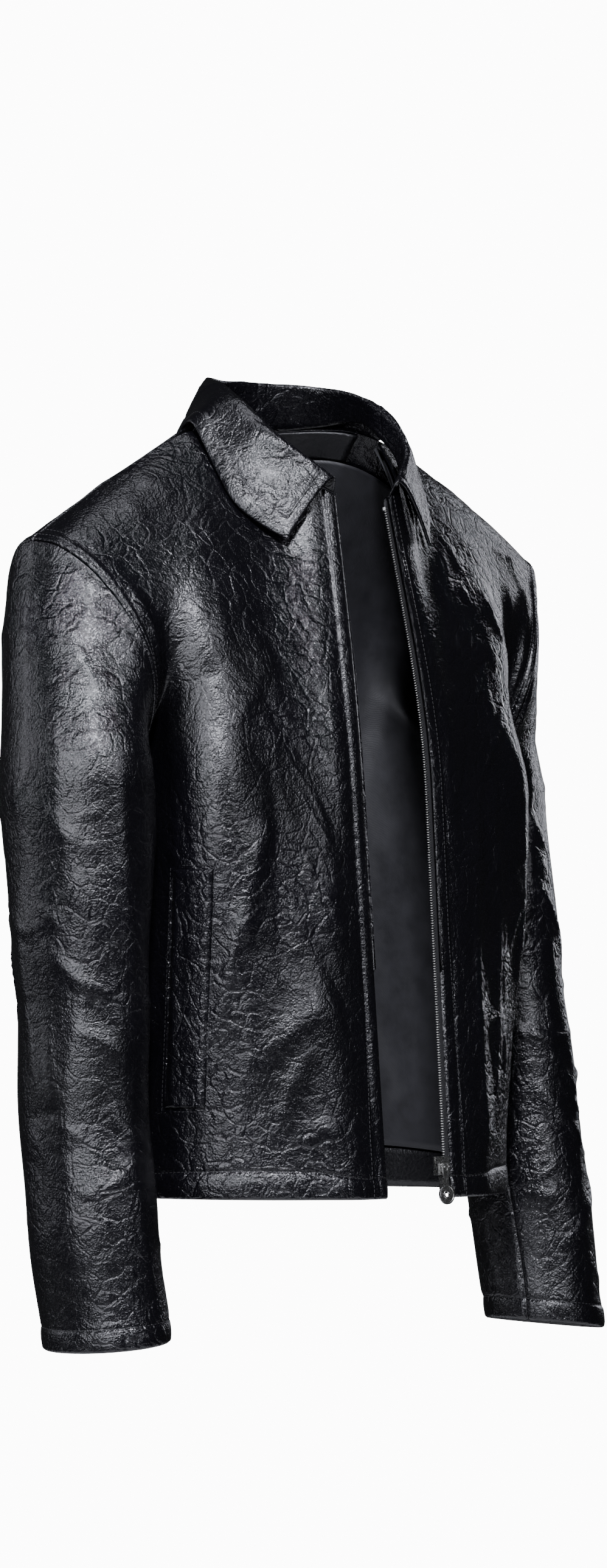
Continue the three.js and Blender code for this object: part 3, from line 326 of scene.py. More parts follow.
# %% Curves
BODY_LENGTH = -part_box("back_panel")[0][2] / MM
SHOULDER_HALF, SHOULDER_DROP = 259.0, 98.0
UNDERARM_HALF, UNDERARM_DROP = 174.0, 268.0
HEM_HALF_WIDTH, HEM_FRONT, HEM_BACK = 172.0, 160.0, 138.0
FRONT_HALF_GAP, CHEST_FRONT, CHEST_DROP = 33.0, 134.0, 293.0
NECK_HALF, NECK_BACK, NECK_FRONT, NECK_FRONT_DROP = 78.0, 64.0, 90.0, 57.0
SLEEVE_DROP = 722.0
LEATHER = 1.4
CHEST_FULLNESS, BACK_FULLNESS = 35.0, 21.0
ARMHOLE_SHARE = 0.574
NECK_SHARE, BACK_NECK_SHARE = 0.36, 0.33


def vec(*numbers):
    return np.array(numbers, float)


def mix(a, b, t):
    return a + (b - a) * t


def smooth(x, low, high):
    t = np.clip((x - low) / (high - low), 0, 1)
    return t * t * (3 - 2 * t)


class Line:
    """A curve through points, read by share of its points (raw) or of its length (at)."""

    def __init__(self, dense):
        self.dense = np.asarray(dense, float)
        steps = np.linalg.norm(np.diff(self.dense, axis=0), axis=1)
        self.run = np.concatenate([[0], np.cumsum(steps)])
        self.length = self.run[-1]

    def _read(self, scale, x):
        return np.stack([np.interp(x, scale, self.dense[:, k]) for k in range(3)], -1)

    def at(self, share):
        return self._read(self.run / self.length, np.asarray(share, float))

    def raw(self, share):
        return self._read(np.linspace(0, 1, len(self.dense)), np.asarray(share, float))


def through(points, steps=60):
    """A centripetal Catmull-Rom curve."""
    p = [np.asarray(q, float) for q in points]
    p = [2 * p[0] - p[1], *p, 2 * p[-1] - p[-2]]
    dense = []
    for k in range(1, len(p) - 2):
        p0, p1, p2, p3 = p[k - 1:k + 3]
        d0, d1, d2 = (max(np.linalg.norm(b - a), 1e-6) ** 0.5 for a, b in ((p0, p1), (p1, p2), (p2, p3)))
        m1 = ((p1 - p0) / d0 - (p2 - p0) / (d0 + d1) + (p2 - p1) / d1) * d1
        m2 = ((p2 - p1) / d1 - (p3 - p1) / (d1 + d2) + (p3 - p2) / d2) * d1
        t = np.linspace(0, 1, steps, endpoint=k == len(p) - 3)[:, None]
        dense.append(hermite(p1, m1, p2, m2, t))
    return Line(np.concatenate(dense))


def hermite(p1, m1, p2, m2, t):
    a, b = t * t, t * t * t
    return p1 * (2 * b - 3 * a + 1) + m1 * (b - 2 * a + t) + p2 * (3 * a - 2 * b) + m2 * (b - a)


def bezier(p0, p1, p2, p3, t):
    s = 1 - t
    return p0 * s ** 3 + p1 * (3 * s * s * t) + p2 * (3 * s * t * t) + p3 * t ** 3


print("body length", round(BODY_LENGTH), "mm")

# %% Seam lines of the wearer's left half
hem_front = vec(FRONT_HALF_GAP, -HEM_FRONT, -BODY_LENGTH)
chest_front = vec(FRONT_HALF_GAP + 3, -CHEST_FRONT, -CHEST_DROP)
neck_front = vec(FRONT_HALF_GAP - 5, -NECK_FRONT, -NECK_FRONT_DROP)
shoulder_neck = vec(NECK_HALF, 4, 10)
shoulder_point = vec(SHOULDER_HALF, 2, -SHOULDER_DROP)
nape = vec(0, NECK_BACK, 2)
hem_side = vec(HEM_HALF_WIDTH, -8, -BODY_LENGTH)
underarm = vec(UNDERARM_HALF, 4, -UNDERARM_DROP)
zip_line = (chest_front - hem_front) / np.linalg.norm(chest_front - hem_front)

t = np.linspace(0, 1, 120)[:, None]
bend = bezier(chest_front, chest_front + zip_line * 85, neck_front + vec(3, -17, -80), neck_front, t)
front_edge = Line(np.concatenate([mix(hem_front, chest_front, np.linspace(0, 1, 60)[:-1, None]), bend]))
front_neck = through([
    neck_front,
    vec(mix(neck_front[0], NECK_HALF, 0.45), mix(-NECK_FRONT, 4, 0.15), mix(-NECK_FRONT_DROP, 10, 0.2)),
    vec(mix(neck_front[0], NECK_HALF, 0.85), mix(-NECK_FRONT, 4, 0.48), mix(-NECK_FRONT_DROP, 10, 0.6)),
    shoulder_neck])
back_neck = through([
    nape,
    vec(NECK_HALF * 0.48, NECK_BACK * 0.93, 4),
    vec(NECK_HALF * 0.85, NECK_BACK * 0.58, 8),
    shoulder_neck])
shoulder_seam = through([shoulder_neck] + [
    vec(mix(NECK_HALF, SHOULDER_HALF, out), y, mix(10, -SHOULDER_DROP, down))
    for out, y, down in ((0.2, 3, 0.16), (0.55, 2, 0.49), (0.85, 1, 0.81))] + [shoulder_point])
side_seam = through([
    hem_side,
    mix(hem_side, underarm, 0.45) + vec(6, -2, 0),
    mix(hem_side, underarm, 0.78) + vec(4, 0, 0),
    underarm])


def armhole(rows):
    inner = [
        vec(mix(UNDERARM_HALF, SHOULDER_HALF, out), y, -mix(UNDERARM_DROP, SHOULDER_DROP, up))
        for out, y, up in rows]
    return through([underarm, *inner, shoulder_point])


armhole_front = armhole([
    (0.06, -30, 0.03), (0.17, -58, 0.14), (0.3, -75, 0.35),
    (0.43, -75, 0.53), (0.6, -61, 0.72), (0.79, -42, 0.88), (0.94, -20, 0.975)])
armhole_back = armhole([
    (0.05, 34, 0.03), (0.17, 60, 0.15), (0.38, 74, 0.34),
    (0.6, 72, 0.53), (0.77, 60, 0.71), (0.9, 42, 0.88), (0.98, 22, 0.975)])


def hem_quarter(start, depth):
    angle = np.linspace(0, math.pi / 2, 13)
    return through([
        vec(mix(start[0], hem_side[0], math.sin(a)), mix(hem_side[1], depth, math.cos(a)), -BODY_LENGTH)
        for a in angle])


hem_front_line = hem_quarter(hem_front, -HEM_FRONT)
hem_back_line = hem_quarter(vec(0, HEM_BACK, -BODY_LENGTH), HEM_BACK)
FRONT_WIDTH, BACK_WIDTH = hem_front_line.length, hem_back_line.length
print("front panel at the hem", round(FRONT_WIDTH), "mm; back", round(2 * BACK_WIDTH), "mm")

# %% [markdown]
# A panel hangs in columns from its top seam to the hem. Each column starts upright at the
# hem and meets the top seam from the direction in which the shoulder or neck pulls it.

# %% Body surfaces
front_pull = through([vec(*p) for p in (
    (3, -17, -80), (6, -52, -80), (5, -86, -80), (0, -108, -70), (-4, -104, -58), (-22, -78, -36))])
back_pull = through([vec(*p) for p in (
    (0, 52, -76), (2, 62, -72), (2, 74, -68), (0, 82, -64), (-4, 78, -60), (-20, 58, -42))])


def outer_line(hole, v):
    low = side_seam.at(np.clip(v / ARMHOLE_SHARE, 0, 1))
    high = hole.at(np.clip((v - ARMHOLE_SHARE) / (1 - ARMHOLE_SHARE), 0, 1))
    return np.where((v < ARMHOLE_SHARE)[..., None], low, high)


def hanging(hem_line, neck, share, pull, inner_line, hole, u, v, fullness):
    def column(s):
        foot = hem_line.at(s)
        on_neck = neck.at(np.clip(s / share, 0, 1))
        on_shoulder = shoulder_seam.at(np.clip((s - share) / (1 - share), 0, 1))
        head = np.where((s < share)[..., None], on_neck, on_shoulder)
        rise = np.zeros_like(foot)
        rise[..., 2] = BODY_LENGTH * 0.44
        rise[..., 1] = np.where(foot[..., 1] > 0, -6, 12)
        return bezier(foot, foot + rise, head + pull.raw(s), head, v[..., None])

    point = column(u)
    point = point + (inner_line(v) - column(np.zeros_like(u))) * ((1 - u) ** 5)[..., None]
    point = point + (outer_line(hole, v) - column(np.ones_like(u))) * (u ** 4)[..., None]
    chest = smooth(v, 0.02, 0.5) * (1 - smooth(v, 0.6, 0.9))
    corner = np.sin(math.pi * np.clip(u - 0.08, 0, 0.84) / 0.84) ** 2
    return point + (chest * corner)[..., None] * fullness


def strip(u, v):
    """The strip beside the front edge, which lies flat so that the zip runs true."""
    turn = smooth(v, 1 - CHEST_DROP / (BODY_LENGTH + NECK_FRONT_DROP), 1)[..., None]
    across = mix(vec(1, 0, 0), vec(0.82, 0.42, 0.38), turn)
    across = across / np.linalg.norm(across, axis=-1, keepdims=True)
    return front_edge.at(np.clip(v, 0, 1)) + across * (u * FRONT_WIDTH)[..., None]


FLAT_SHARE = 17.6 / FRONT_WIDTH


def centre_back(v):
    return bezier(
        vec(0, HEM_BACK, -BODY_LENGTH), vec(0, HEM_BACK - 8, -BODY_LENGTH * 0.56),
        nape + vec(0, 58, -72), nape, v[..., None])


def stance(point):
    """The wearer's left shoulder is drawn back a little."""
    high = smooth(-point[..., 2], 60, 125) * (1 - smooth(-point[..., 2], 235, 300))
    point[..., 1] += 14 * smooth(point[..., 0], 110, 235) * high
    return point


def front_surface(side):
    def at(u, v):
        cu, cv = np.clip(u, 0, 1), np.clip(v, 0, 1)
        inside = hanging(
            hem_front_line, front_neck, NECK_SHARE, front_pull, front_edge.at, armhole_front, cu, cv,
            vec(0.76, -0.65, 0) * CHEST_FULLNESS)
        point = mix(strip(u, v), inside, smooth(u, FLAT_SHARE, FLAT_SHARE + 0.2)[..., None])
        return stance(point * vec(side, 1, 1))
    return at


def back_surface(a, v):
    u = np.clip(abs(a), 0, 1)
    point = hanging(
        hem_back_line, back_neck, BACK_NECK_SHARE, back_pull, centre_back, armhole_back, u,
        np.clip(v, 0, 1), vec(0.76, 0.65, 0) * BACK_FULLNESS)
    return stance(point * np.stack([np.where(a < 0, -1.0, 1.0), np.ones_like(a), np.ones_like(a)], -1))


print("chest point", front_surface(1)(np.array([0.5]), np.array([0.6])).round(0))

# %% [markdown]
# A sleeve starts at the armhole seam and becomes a tube. Below the head it is an oval whose
# centre follows the arm; the right arm hangs a little forward and the left one a little back.

# %% Sleeve surfaces
ARM_SECTIONS = {
    "right": [(0, 62, -26, 52, 69), (0.13, 63, -27, 50, 67), (0.34, 62, -28, 46, 61),
              (0.56, 60, -29, 45, 59), (0.77, 58, -38, 45.5, 58), (1, 52, -48, 45, 56)],
    "left": [(0, 57, 32, 48, 64), (0.13, 58, 20, 47, 63), (0.34, 60, 7, 46, 60),
             (0.56, 62, -8, 45, 58), (0.77, 66, -22, 45, 57), (1, 71, -37, 44, 54)],
}
BICEP_DROP = UNDERARM_DROP + 24
BICEP_SHARE = 0.29


def section_at(rows, share):
    table = np.array(rows, float)
    k = np.clip(np.searchsorted(table[:, 0], share - 1e-9), 1, len(table) - 1)
    r = [table[np.clip(k + n, 0, len(table) - 1)] for n in (-2, -1, 0, 1)]
    t = ((share - r[1][..., 0]) / (r[2][..., 0] - r[1][..., 0]))[..., None]
    return hermite(r[1], (r[2] - r[0]) / 2, r[2], (r[3] - r[1]) / 2, t)[..., 1:]


def side_half(share):
    """How far out the side seam is beside the arm."""
    to_hem = (SLEEVE_DROP - BICEP_DROP) / (BODY_LENGTH - BICEP_DROP)
    return mix(UNDERARM_HALF, HEM_HALF_WIDTH, np.minimum(1, 0.7 + share * to_hem))


def sleeve_ring(rows, angle, share):
    beside, y, half_x, half_y = np.moveaxis(section_at(rows, share), -1, 0)
    x = beside + side_half(share)
    z = -mix(BICEP_DROP, SLEEVE_DROP, share) - 5 * share * np.cos(angle)
    return np.stack([x + half_x * np.cos(angle), y - half_y * np.sin(angle), z], -1)


def sleeve_surface(side, rows):
    def at(turn, w):
        angle = (turn % 1.0) * 2 * math.pi
        front = armhole_front.at(np.clip(1 - (turn % 1.0) * 2, 0, 1))
        back = armhole_back.at(np.clip((turn % 1.0) * 2 - 1, 0, 1))
        seam = np.where(((turn % 1.0) <= 0.5)[..., None], front, back)
        crown = (1 + np.cos(angle)) / 2
        seam[..., 0] += 3.4 * (1 - crown) ** 4
        low = sleeve_ring(rows, angle, np.clip((w - BICEP_SHARE) / (1 - BICEP_SHARE), 0, 1))
        end = sleeve_ring(rows, angle, np.zeros_like(w))
        reach = np.linalg.norm(seam - end, axis=-1)
        hang = smooth(crown, 0, 0.4)
        zero = np.zeros_like(reach)
        leave = np.stack([mix(0.9, 0.1, hang) * reach, zero, -mix(0.25, 0.8, hang) * reach], -1)
        arrive = np.stack([zero, zero, -0.9 * reach], -1)
        head = hermite(seam, leave, end, arrive, np.clip(w / BICEP_SHARE, 0, 1)[..., None])
        point = np.where((w >= BICEP_SHARE)[..., None], low, head)
        return stance(point * vec(side, 1, 1))
    return at


print("cuff", sleeve_surface(-1, ARM_SECTIONS["right"])(np.array([0.0]), np.array([1.0])).round(0))

# %% [markdown]
# ## From a surface to a sheet of hide
# A sheet has two faces and a rim. Both faces are grids over the surface, one set outward and
# one inward along the normals. Offsets may change from place to place, and that is how folds,
# stitch grooves and rolled edges are made: they are heights added to a smooth surface. Grid
# lines are closer together beside stitch rows and edges, where the height changes quickly.


# %% Grid helpers
def lines(low, high, step, length, close=()):
    """Shares from low to high about step mm apart, with closer lines beside the mm in close."""
    count = max(2, int(round((high - low) * length / step)))
    share = set(np.round(np.linspace(low, high, count + 1), 6))
    for mm in close:
        for d in (-2.4, -1.5, -0.7, 0, 0.7, 1.5, 2.4):
            x = low + (mm + d) / length
            if low < x < high:
                share = {s for s in share if abs(s - x) * length > 0.45 or s in (low, high)}
                share.add(round(x, 6))
    return np.array(sorted(share))


def grid_normals(point, side, wrap=False):
    if wrap:
        padded = np.concatenate([point[-2:-1], point, point[1:2]])
        across = np.gradient(padded, axis=0)[1:-1]
    else:
        across = np.gradient(point, axis=0)
    upward = np.gradient(point, axis=1)
    normal = np.cross(across, upward) * side
    return normal / np.maximum(np.linalg.norm(normal, axis=-1, keepdims=True), 1e-9)


def eased(point, rounds, window):
    """Smooths a grid across the panel where window is 1, to take out a kink between columns."""
    for _ in range(rounds):
        step = (point[:-2] + point[2:]) / 2 - point[1:-1]
        point[1:-1] += 0.5 * step * window[1:-1, :, None]
    return point


class Patch:
    """A finished outer face, which can be read at any pair of shares."""

    def __init__(self, a, b, top, normal):
        self.a, self.b, self.top, self.normal = a, b, top, normal

    def read(self, a, b):
        i = np.clip(np.searchsorted(self.a, a) - 1, 0, len(self.a) - 2)
        j = np.clip(np.searchsorted(self.b, b) - 1, 0, len(self.b) - 2)
        s = ((a - self.a[i]) / (self.a[i + 1] - self.a[i]))[:, None]
        t = ((b - self.b[j]) / (self.b[j + 1] - self.b[j]))[:, None]
        out = []
        for grid in (self.top, self.normal):
            low = mix(grid[i, j], grid[i + 1, j], s)
            high = mix(grid[i, j + 1], grid[i + 1, j + 1], s)
            out.append(mix(low, high, t))
        return out


def sheet_mesh(name, point, normal, top, bottom, material, side, wrap=False, hole=None):
    """A closed mesh from two offset grids. hole marks the cells that are left out."""
    na, nb = point.shape[:2]
    outer = point + normal * np.broadcast_to(top, (na, nb))[..., None]
    inner = point + normal * np.broadcast_to(bottom, (na, nb))[..., None]
    rows = na - 1 if wrap else na
    number = np.arange(rows * nb).reshape(rows, nb)
    if wrap:
        number = np.concatenate([number, number[:1]])
    solid = np.ones((na - 1, nb - 1), bool) if hole is None else ~hole
    quads = np.stack([number[:-1, :-1], number[1:, :-1], number[1:, 1:], number[:-1, 1:]], -1)[solid]
    shift = rows * nb
    faces = [quads if side > 0 else quads[:, ::-1], (quads[:, ::-1] if side > 0 else quads) + shift]
    edges = np.concatenate([faces[0][:, [k, (k + 1) % 4]] for k in range(4)])
    forward_key = edges[:, 0] * (shift * 2) + edges[:, 1]
    back_key = edges[:, 1] * (shift * 2) + edges[:, 0]
    rim = edges[~np.isin(forward_key, back_key)]
    faces.append(np.stack([rim[:, 1], rim[:, 0], rim[:, 0] + shift, rim[:, 1] + shift], -1))
    vertices = np.concatenate([outer[:rows].reshape(-1, 3), inner[:rows].reshape(-1, 3)]) * MM
    faces = np.concatenate(faces)
    used = np.unique(faces)
    fresh = np.zeros(len(vertices), int)
    fresh[used] = np.arange(len(used))
    mesh = bpy.data.meshes.new(name)
    mesh.from_pydata(vertices[used].tolist(), [], fresh[faces].tolist())
    mesh.materials.append(material)
    mesh.shade_smooth()
    obj = bpy.data.objects.new(name, mesh)
    bpy.context.collection.objects.link(obj)
    return obj, outer


def cut_size(point):
    """Width, length and area in metres of the flat cut of a sheet."""
    across = np.linalg.norm(np.diff(point, axis=0), axis=-1).sum(0).max()
    up = np.linalg.norm(np.diff(point, axis=1), axis=-1).sum(1).max()
    one = point[1:, :-1] - point[:-1, :-1]
    two = point[:-1, 1:] - point[:-1, :-1]
    area = np.linalg.norm(np.cross(one, two), axis=-1).sum()
    return across * MM, up * MM, min(area * MM * MM, across * up * MM * MM)


bases = {}
declared = {}


def on_base(base):
    """The smooth surface under a finished panel, as a function of two shares."""
    def at(a, b):
        place, _ = base.read(a.ravel(), b.ravel())
        return place.reshape(*a.shape, 3)
    return at


def declare(obj, point):
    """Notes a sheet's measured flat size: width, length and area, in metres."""
    width, length, area = cut_size(point)
    declared[obj.name] = (round(width, 3), round(length, 3), round(area, 4))


print("grid helpers ready")

# %% [markdown]
# Hide that hangs creases in three sizes: broad swells where it stands off the body, long
# folds that run from a point of strain, and many short crisp creases where it has been bent
# often. Each fold is a ridge along a short line, highest in its middle. The seeds are fixed,
# so that the jacket creases the same way each time.


# %% Folds
def swell(x, y, seed, size, height):
    """Broad smooth unevenness, from a few crossed waves."""
    rng = np.random.default_rng(seed)
    total = np.zeros_like(x)
    for _ in range(7):
        angle = rng.uniform(0, math.pi)
        wave = 2 * math.pi / (size * rng.uniform(0.7, 1.7))
        total += np.sin((x * math.cos(angle) + y * math.sin(angle)) * wave + rng.uniform(0, 6.3))
    return total / 7 * height * 1.6


def fold(x, y, start, end, width, height, bow=0.0):
    """A ridge from start to end in mm, crisp on top and fading out at its ends."""
    dx, dy = end[0] - start[0], end[1] - start[1]
    length = math.hypot(dx, dy)
    along = ((x - start[0]) * dx + (y - start[1]) * dy) / length ** 2
    across = ((x - start[0]) * dy - (y - start[1]) * dx) / length
    across = across + bow * (1 - (2 * along - 1) ** 2)
    fade = np.clip(1 - (2 * along - 1) ** 2, 0, 1) ** 0.8
    ridge = np.exp(-(np.sqrt((across / width) ** 2 + 0.09) - 0.3) * 1.6)
    return height * fade * ridge


def creases(x, y, seed, count, angle, spread, length, width, height):
    """Many short folds at random places, mostly at one angle."""
    rng = np.random.default_rng(seed)
    total = np.zeros_like(x)
    low_x, high_x, low_y, high_y = x.min(), x.max(), y.min(), y.max()
    for _ in range(count):
        cx, cy = rng.uniform(low_x, high_x), rng.uniform(low_y, high_y)
        turn = angle + rng.normal() * spread
        half = rng.uniform(*length) / 2
        step = (math.cos(turn) * half, math.sin(turn) * half)
        tall = rng.uniform(*height) * rng.choice([1, 1, -0.7])
        bow = rng.normal() * half * 0.2
        ends = (cx - step[0], cy - step[1]), (cx + step[0], cy + step[1])
        total += fold(x, y, *ends, rng.uniform(*width), tall, bow)
    return total


def groove(distance, depth=0.55, width=1.1):
    """The dent that a stitch row pulls into the hide."""
    return -depth * np.exp(-(distance / width) ** 2)


def rolled(distance, radius):
    """How far a face drops as it rolls over an edge."""
    t = np.clip(1 - distance / radius, 0, 1)
    return -radius * (1 - np.sqrt(1 - t * t * 0.98))


def puffed(distance, width, height):
    """Padding between an edge and the stitch row beside it."""
    return height * np.sin(math.pi * np.clip(distance / width, 0, 1)) ** 0.8


print("fold helpers ready")

# %% [markdown]
# ## Front panels
# Each front panel is one piece of hide from the front edge to the side seam and from the hem
# to the shoulder. It has a slit for the pocket, so the grid leans with the welt there and
# the cells of the slit are left out. The edge along the zip is turned in and topstitched
# 12 mm from the fold, and the hem 19 mm up.

# %% Front panels
PANEL_HEIGHT = BODY_LENGTH + NECK_FRONT_DROP
WELT_PLACE, WELT_LEAN, SLOT_WIDTH = 0.775, 7.0, 12.0
WELT_WIDTH, WELT_LENGTH, WELT_FOOT = 22.0, 186.0, 71.0
welt_rise = math.sqrt(WELT_LENGTH ** 2 - (2 * WELT_LEAN) ** 2)
EDGE_STITCH, HEM_STITCH, CUFF_STITCH = 12.0, 19.0, 18.0
SEAM_STITCHES = (2.6, 7.0)  # two rows beside an armhole
EDGE_ROLL = 2.2  # radius of a turned edge
EDGE_PADDING = {"right": 1.3, "left": 0.5}
RELIEF_START = {"right": 12, "left": 24}  # where the folds begin, from the front edge
# Folds: start and end in mm from the front edge and the hem, then width, height and bow.
FRONT_FOLDS = {
    "right": [
        ((214, 420), (226, 625), 8, 3.6, 6), ((238, 560), (232, 650), 6, 2.6, -3),
        ((196, 330), (205, 520), 9, 1.6, 5), ((150, 500), (90, 330), 26, 1.8, 12),
        ((70, 345), (92, 225), 15, 2.6, 3), ((86, 262), (112, 170), 12, 3.4, 3),
        ((104, 200), (138, 112), 11, 4.0, 4), ((128, 136), (172, 60), 11, 3.8, 4),
        ((30, 168), (112, 88), 14, 3.6, -7), ((58, 108), (88, 46), 9, 3.0, 5),
        ((44, 62), (74, 32), 11, 2.6, 0), ((18, 60), (32, 30), 9, 2.2, 0),
        ((28, 330), (46, 205), 14, 2.2, -4), ((112, 330), (70, 420), 16, 2.0, 6),
    ],
    "left": [
        ((45 + 23 * k, 20 + 9 * (k % 3)), (53 + 23 * k - 5 * (k % 4), 330 + 45 * (k % 3)),
         7, 1.9, 7 * (-1) ** k)
        for k in range(9)
    ] + [((214, 430), (226, 620), 8, 3.0, 6)],
}


def share_at_height(surface, u, height):
    low, high = np.zeros_like(u), np.full_like(u, 0.9)
    for _ in range(16):
        middle = (low + high) / 2
        under = surface(u, middle)[..., 2] < height - BODY_LENGTH
        low, high = np.where(under, middle, low), np.where(under, high, middle)
    return low


def pocket_place(surface, a_mm, b):
    """Panel shares of a place a_mm forward of the slit's rear edge, b from its foot to its head."""
    u = WELT_PLACE + WELT_LEAN / FRONT_WIDTH * (1 - 2 * b) - a_mm / FRONT_WIDTH
    return u, share_at_height(surface, u, WELT_FOOT + welt_rise * b)


front_shapes = {"right": front_surface(-1), "left": front_surface(1)}
foot_v, head_v = (
    float(pocket_place(front_shapes["left"], np.array([0.0]), np.array([b]))[1][0]) for b in (0, 1))


def leaning(u, v):
    """Leans the grid with the pocket."""
    b = np.clip((v - foot_v) / (head_v - foot_v), 0, 1)
    near = np.sin(math.pi * np.clip(u, 0, 1)) ** 0.5
    return u + WELT_LEAN / FRONT_WIDTH * (1 - 2 * b) * near


def front_relief(name, u, v):
    x, y = u * FRONT_WIDTH, v * PANEL_HEIGHT
    seed = 3 if name == "right" else 8
    inside = smooth(x, RELIEF_START[name], 45) * smooth(y, 16, 50)
    height = swell(x, y, seed, 170, 1.5)
    height += creases(x, y, seed + 1, 150, 0.1, 0.6, (14, 60), (2.2, 5), (0.12, 0.5))
    height += creases(x, y, seed + 2, 60, 1.5, 0.35, (50, 160), (6, 14), (0.3, 1.0))
    if name == "left":
        height += creases(x, y, seed + 3, 130, 1.4, 0.4, (24, 90), (2.6, 6), (0.4, 1.3))
    for start, end, wide, tall, bow in FRONT_FOLDS[name]:
        height += fold(x, y, start, end, wide, tall, bow)
    pocket = smooth(u, 0.32, 0.42) * smooth(v, foot_v - 0.09, foot_v - 0.03)
    pocket = pocket * (1 - smooth(v, head_v + 0.03, head_v + 0.09))
    height = np.where(height < 0, height * (1 - pocket), height)
    beside_welt = smooth(u, 0.5, 0.6) * pocket
    return height * inside * (1 - 0.5 * beside_welt)


def front_panel(name, side):
    surface = front_shapes[name]
    close_a = [1, EDGE_STITCH, FRONT_WIDTH - 3, FRONT_WIDTH - 7, FRONT_WIDTH - 1]
    slit = [WELT_PLACE - SLOT_WIDTH / FRONT_WIDTH, WELT_PLACE]
    a = lines(0, 1, 3.2, FRONT_WIDTH, close_a)
    a = np.array(sorted([s for s in a if min(abs(s - k) for k in slit) > 0.004] + slit))
    b = lines(0, 1, 3.2, PANEL_HEIGHT, [1, HEM_STITCH, PANEL_HEIGHT - 2])
    grid_a, grid_b = np.meshgrid(a, b, indexing="ij")
    u = leaning(grid_a, grid_b)
    u = np.where((grid_a > 0) & (grid_a < 1), u, grid_a)
    window = smooth(u, 0.1, 0.2) * (1 - smooth(u, 0.9, 0.97)) * smooth(grid_b, 0.44, 0.58)
    point = eased(surface(u, grid_b), 120, window)
    normal = grid_normals(point, side)
    bases[f"front_{name}"] = Patch(a, b, point, normal)
    in_x, in_y = u * FRONT_WIDTH, grid_b * PANEL_HEIGHT
    out_x, out_y = (1 - u) * FRONT_WIDTH, (1 - grid_b) * PANEL_HEIGHT
    above = smooth(grid_b, ARMHOLE_SHARE, ARMHOLE_SHARE + 0.02)
    top = front_relief(name, u, grid_b)
    top += (
        rolled(in_x, EDGE_ROLL) + rolled(in_y, EDGE_ROLL)
        + rolled(out_x, EDGE_ROLL) + rolled(out_y, EDGE_ROLL))
    top += puffed(in_x, EDGE_STITCH, EDGE_PADDING[name]) + puffed(in_y, HEM_STITCH, 1.1)
    top += groove(in_x - EDGE_STITCH, 0.8, 1.3) + groove(in_y - HEM_STITCH, 0.8, 1.3)
    top += above * (groove(out_x - 2.6) + groove(out_x - 7) + 1.6 * (1 - smooth(out_x, 6, 9)))
    bottom = front_relief(name, u, grid_b) - LEATHER
    bottom += np.minimum(0, rolled(in_x, EDGE_ROLL) + 1.6) + np.minimum(0, rolled(out_x, EDGE_ROLL) + 1.6)
    middle_a = (grid_a[1:, 1:] + grid_a[:-1, 1:]) / 2
    share = ((grid_b[:-1, 1:] + grid_b[:-1, :-1]) / 2 - foot_v) / (head_v - foot_v)
    hole = (middle_a > slit[0]) & (middle_a < slit[1]) & (share > 0.04) & (share < 0.96)
    piece, outer = sheet_mesh(f"front_hide_{name}", point, normal, top, bottom, hide, side, hole=hole)
    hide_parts(f"front_panel_{name}")
    declare(piece, point)
    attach(piece, "jacket_body")
    return Patch(a, b, outer, normal)


fronts = {name: front_panel(name, side) for name, side in (("right", -1), ("left", 1))}
print(declared)

# %% [markdown]
# ## Back panel
# One piece of hide, with no seam down the middle. It hangs from the neck and the shoulders
# and is topstitched beside the armholes, the shoulder seams and along the hem.

# %% Back panel
def back_relief(a, v):
    x, y = a * BACK_WIDTH, v * BODY_LENGTH
    inside = smooth(BACK_WIDTH - abs(x), 8, 40) * smooth(y, 16, 50)
    height = swell(x, y, 21, 180, 2.2)
    height += creases(x, y, 22, 260, 0.0, 0.6, (14, 70), (2.4, 5), (0.12, 0.5))
    height += creases(x, y, 23, 110, 1.5, 0.4, (50, 180), (6, 14), (0.4, 1.2))
    for side in (-1, 1):
        height += fold(x, y, (side * 225, 330), (side * 150, 560), 9, 3.6, side * 10)
        height += fold(x, y, (side * 200, 60), (side * 120, 300), 14, 2.6, side * 12)
    return height * inside


def back_panel():
    full_width = 2 * BACK_WIDTH
    a = lines(-1, 1, 3.4, BACK_WIDTH, [1, 3, 7, full_width - 7, full_width - 3, full_width - 1])
    b = lines(0, 1, 3.4, BODY_LENGTH, [1, HEM_STITCH, BODY_LENGTH - 4, BODY_LENGTH - 1])
    grid_a, grid_b = np.meshgrid(a, b, indexing="ij")
    window = 1 - smooth(abs(grid_a), 0.9, 0.97)
    point = eased(back_surface(grid_a, grid_b), 120, window)
    normal = grid_normals(point, -1)
    bases["back"] = Patch(a, b, point, normal)
    in_y, out_y = grid_b * BODY_LENGTH, (1 - grid_b) * BODY_LENGTH
    out_x = (1 - abs(grid_a)) * BACK_WIDTH
    above = smooth(grid_b, ARMHOLE_SHARE, ARMHOLE_SHARE + 0.02)
    relief = back_relief(grid_a, grid_b)
    top = relief + rolled(in_y, EDGE_ROLL) + rolled(out_x, EDGE_ROLL) + rolled(out_y, EDGE_ROLL)
    top += puffed(in_y, HEM_STITCH, 0.8) + groove(in_y - HEM_STITCH)
    top += above * (groove(out_x - 2.6) + groove(out_x - 7) + 0.9 * (1 - smooth(out_x, 6, 8.5)))
    top += groove(out_y - 4) + 0.6 * (1 - smooth(out_y, 3, 5.5))
    piece, outer = sheet_mesh("back_hide", point, normal, top, relief - LEATHER, hide, -1)
    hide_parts("back_panel")
    declare(piece, point)
    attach(piece, "jacket_body")
    return Patch(a, b, outer, normal)


back = back_panel()
print("back", declared["back_hide"])

# %% [markdown]
# ## Sleeves
# A sleeve is cut in two pieces, a wide top piece and a narrow under piece, joined by a front
# seam and a back seam. Sewn together they make one tube, so the tube is made at once and the
# two seams are pressed into it. It creases most inside the elbow and above the cuff.

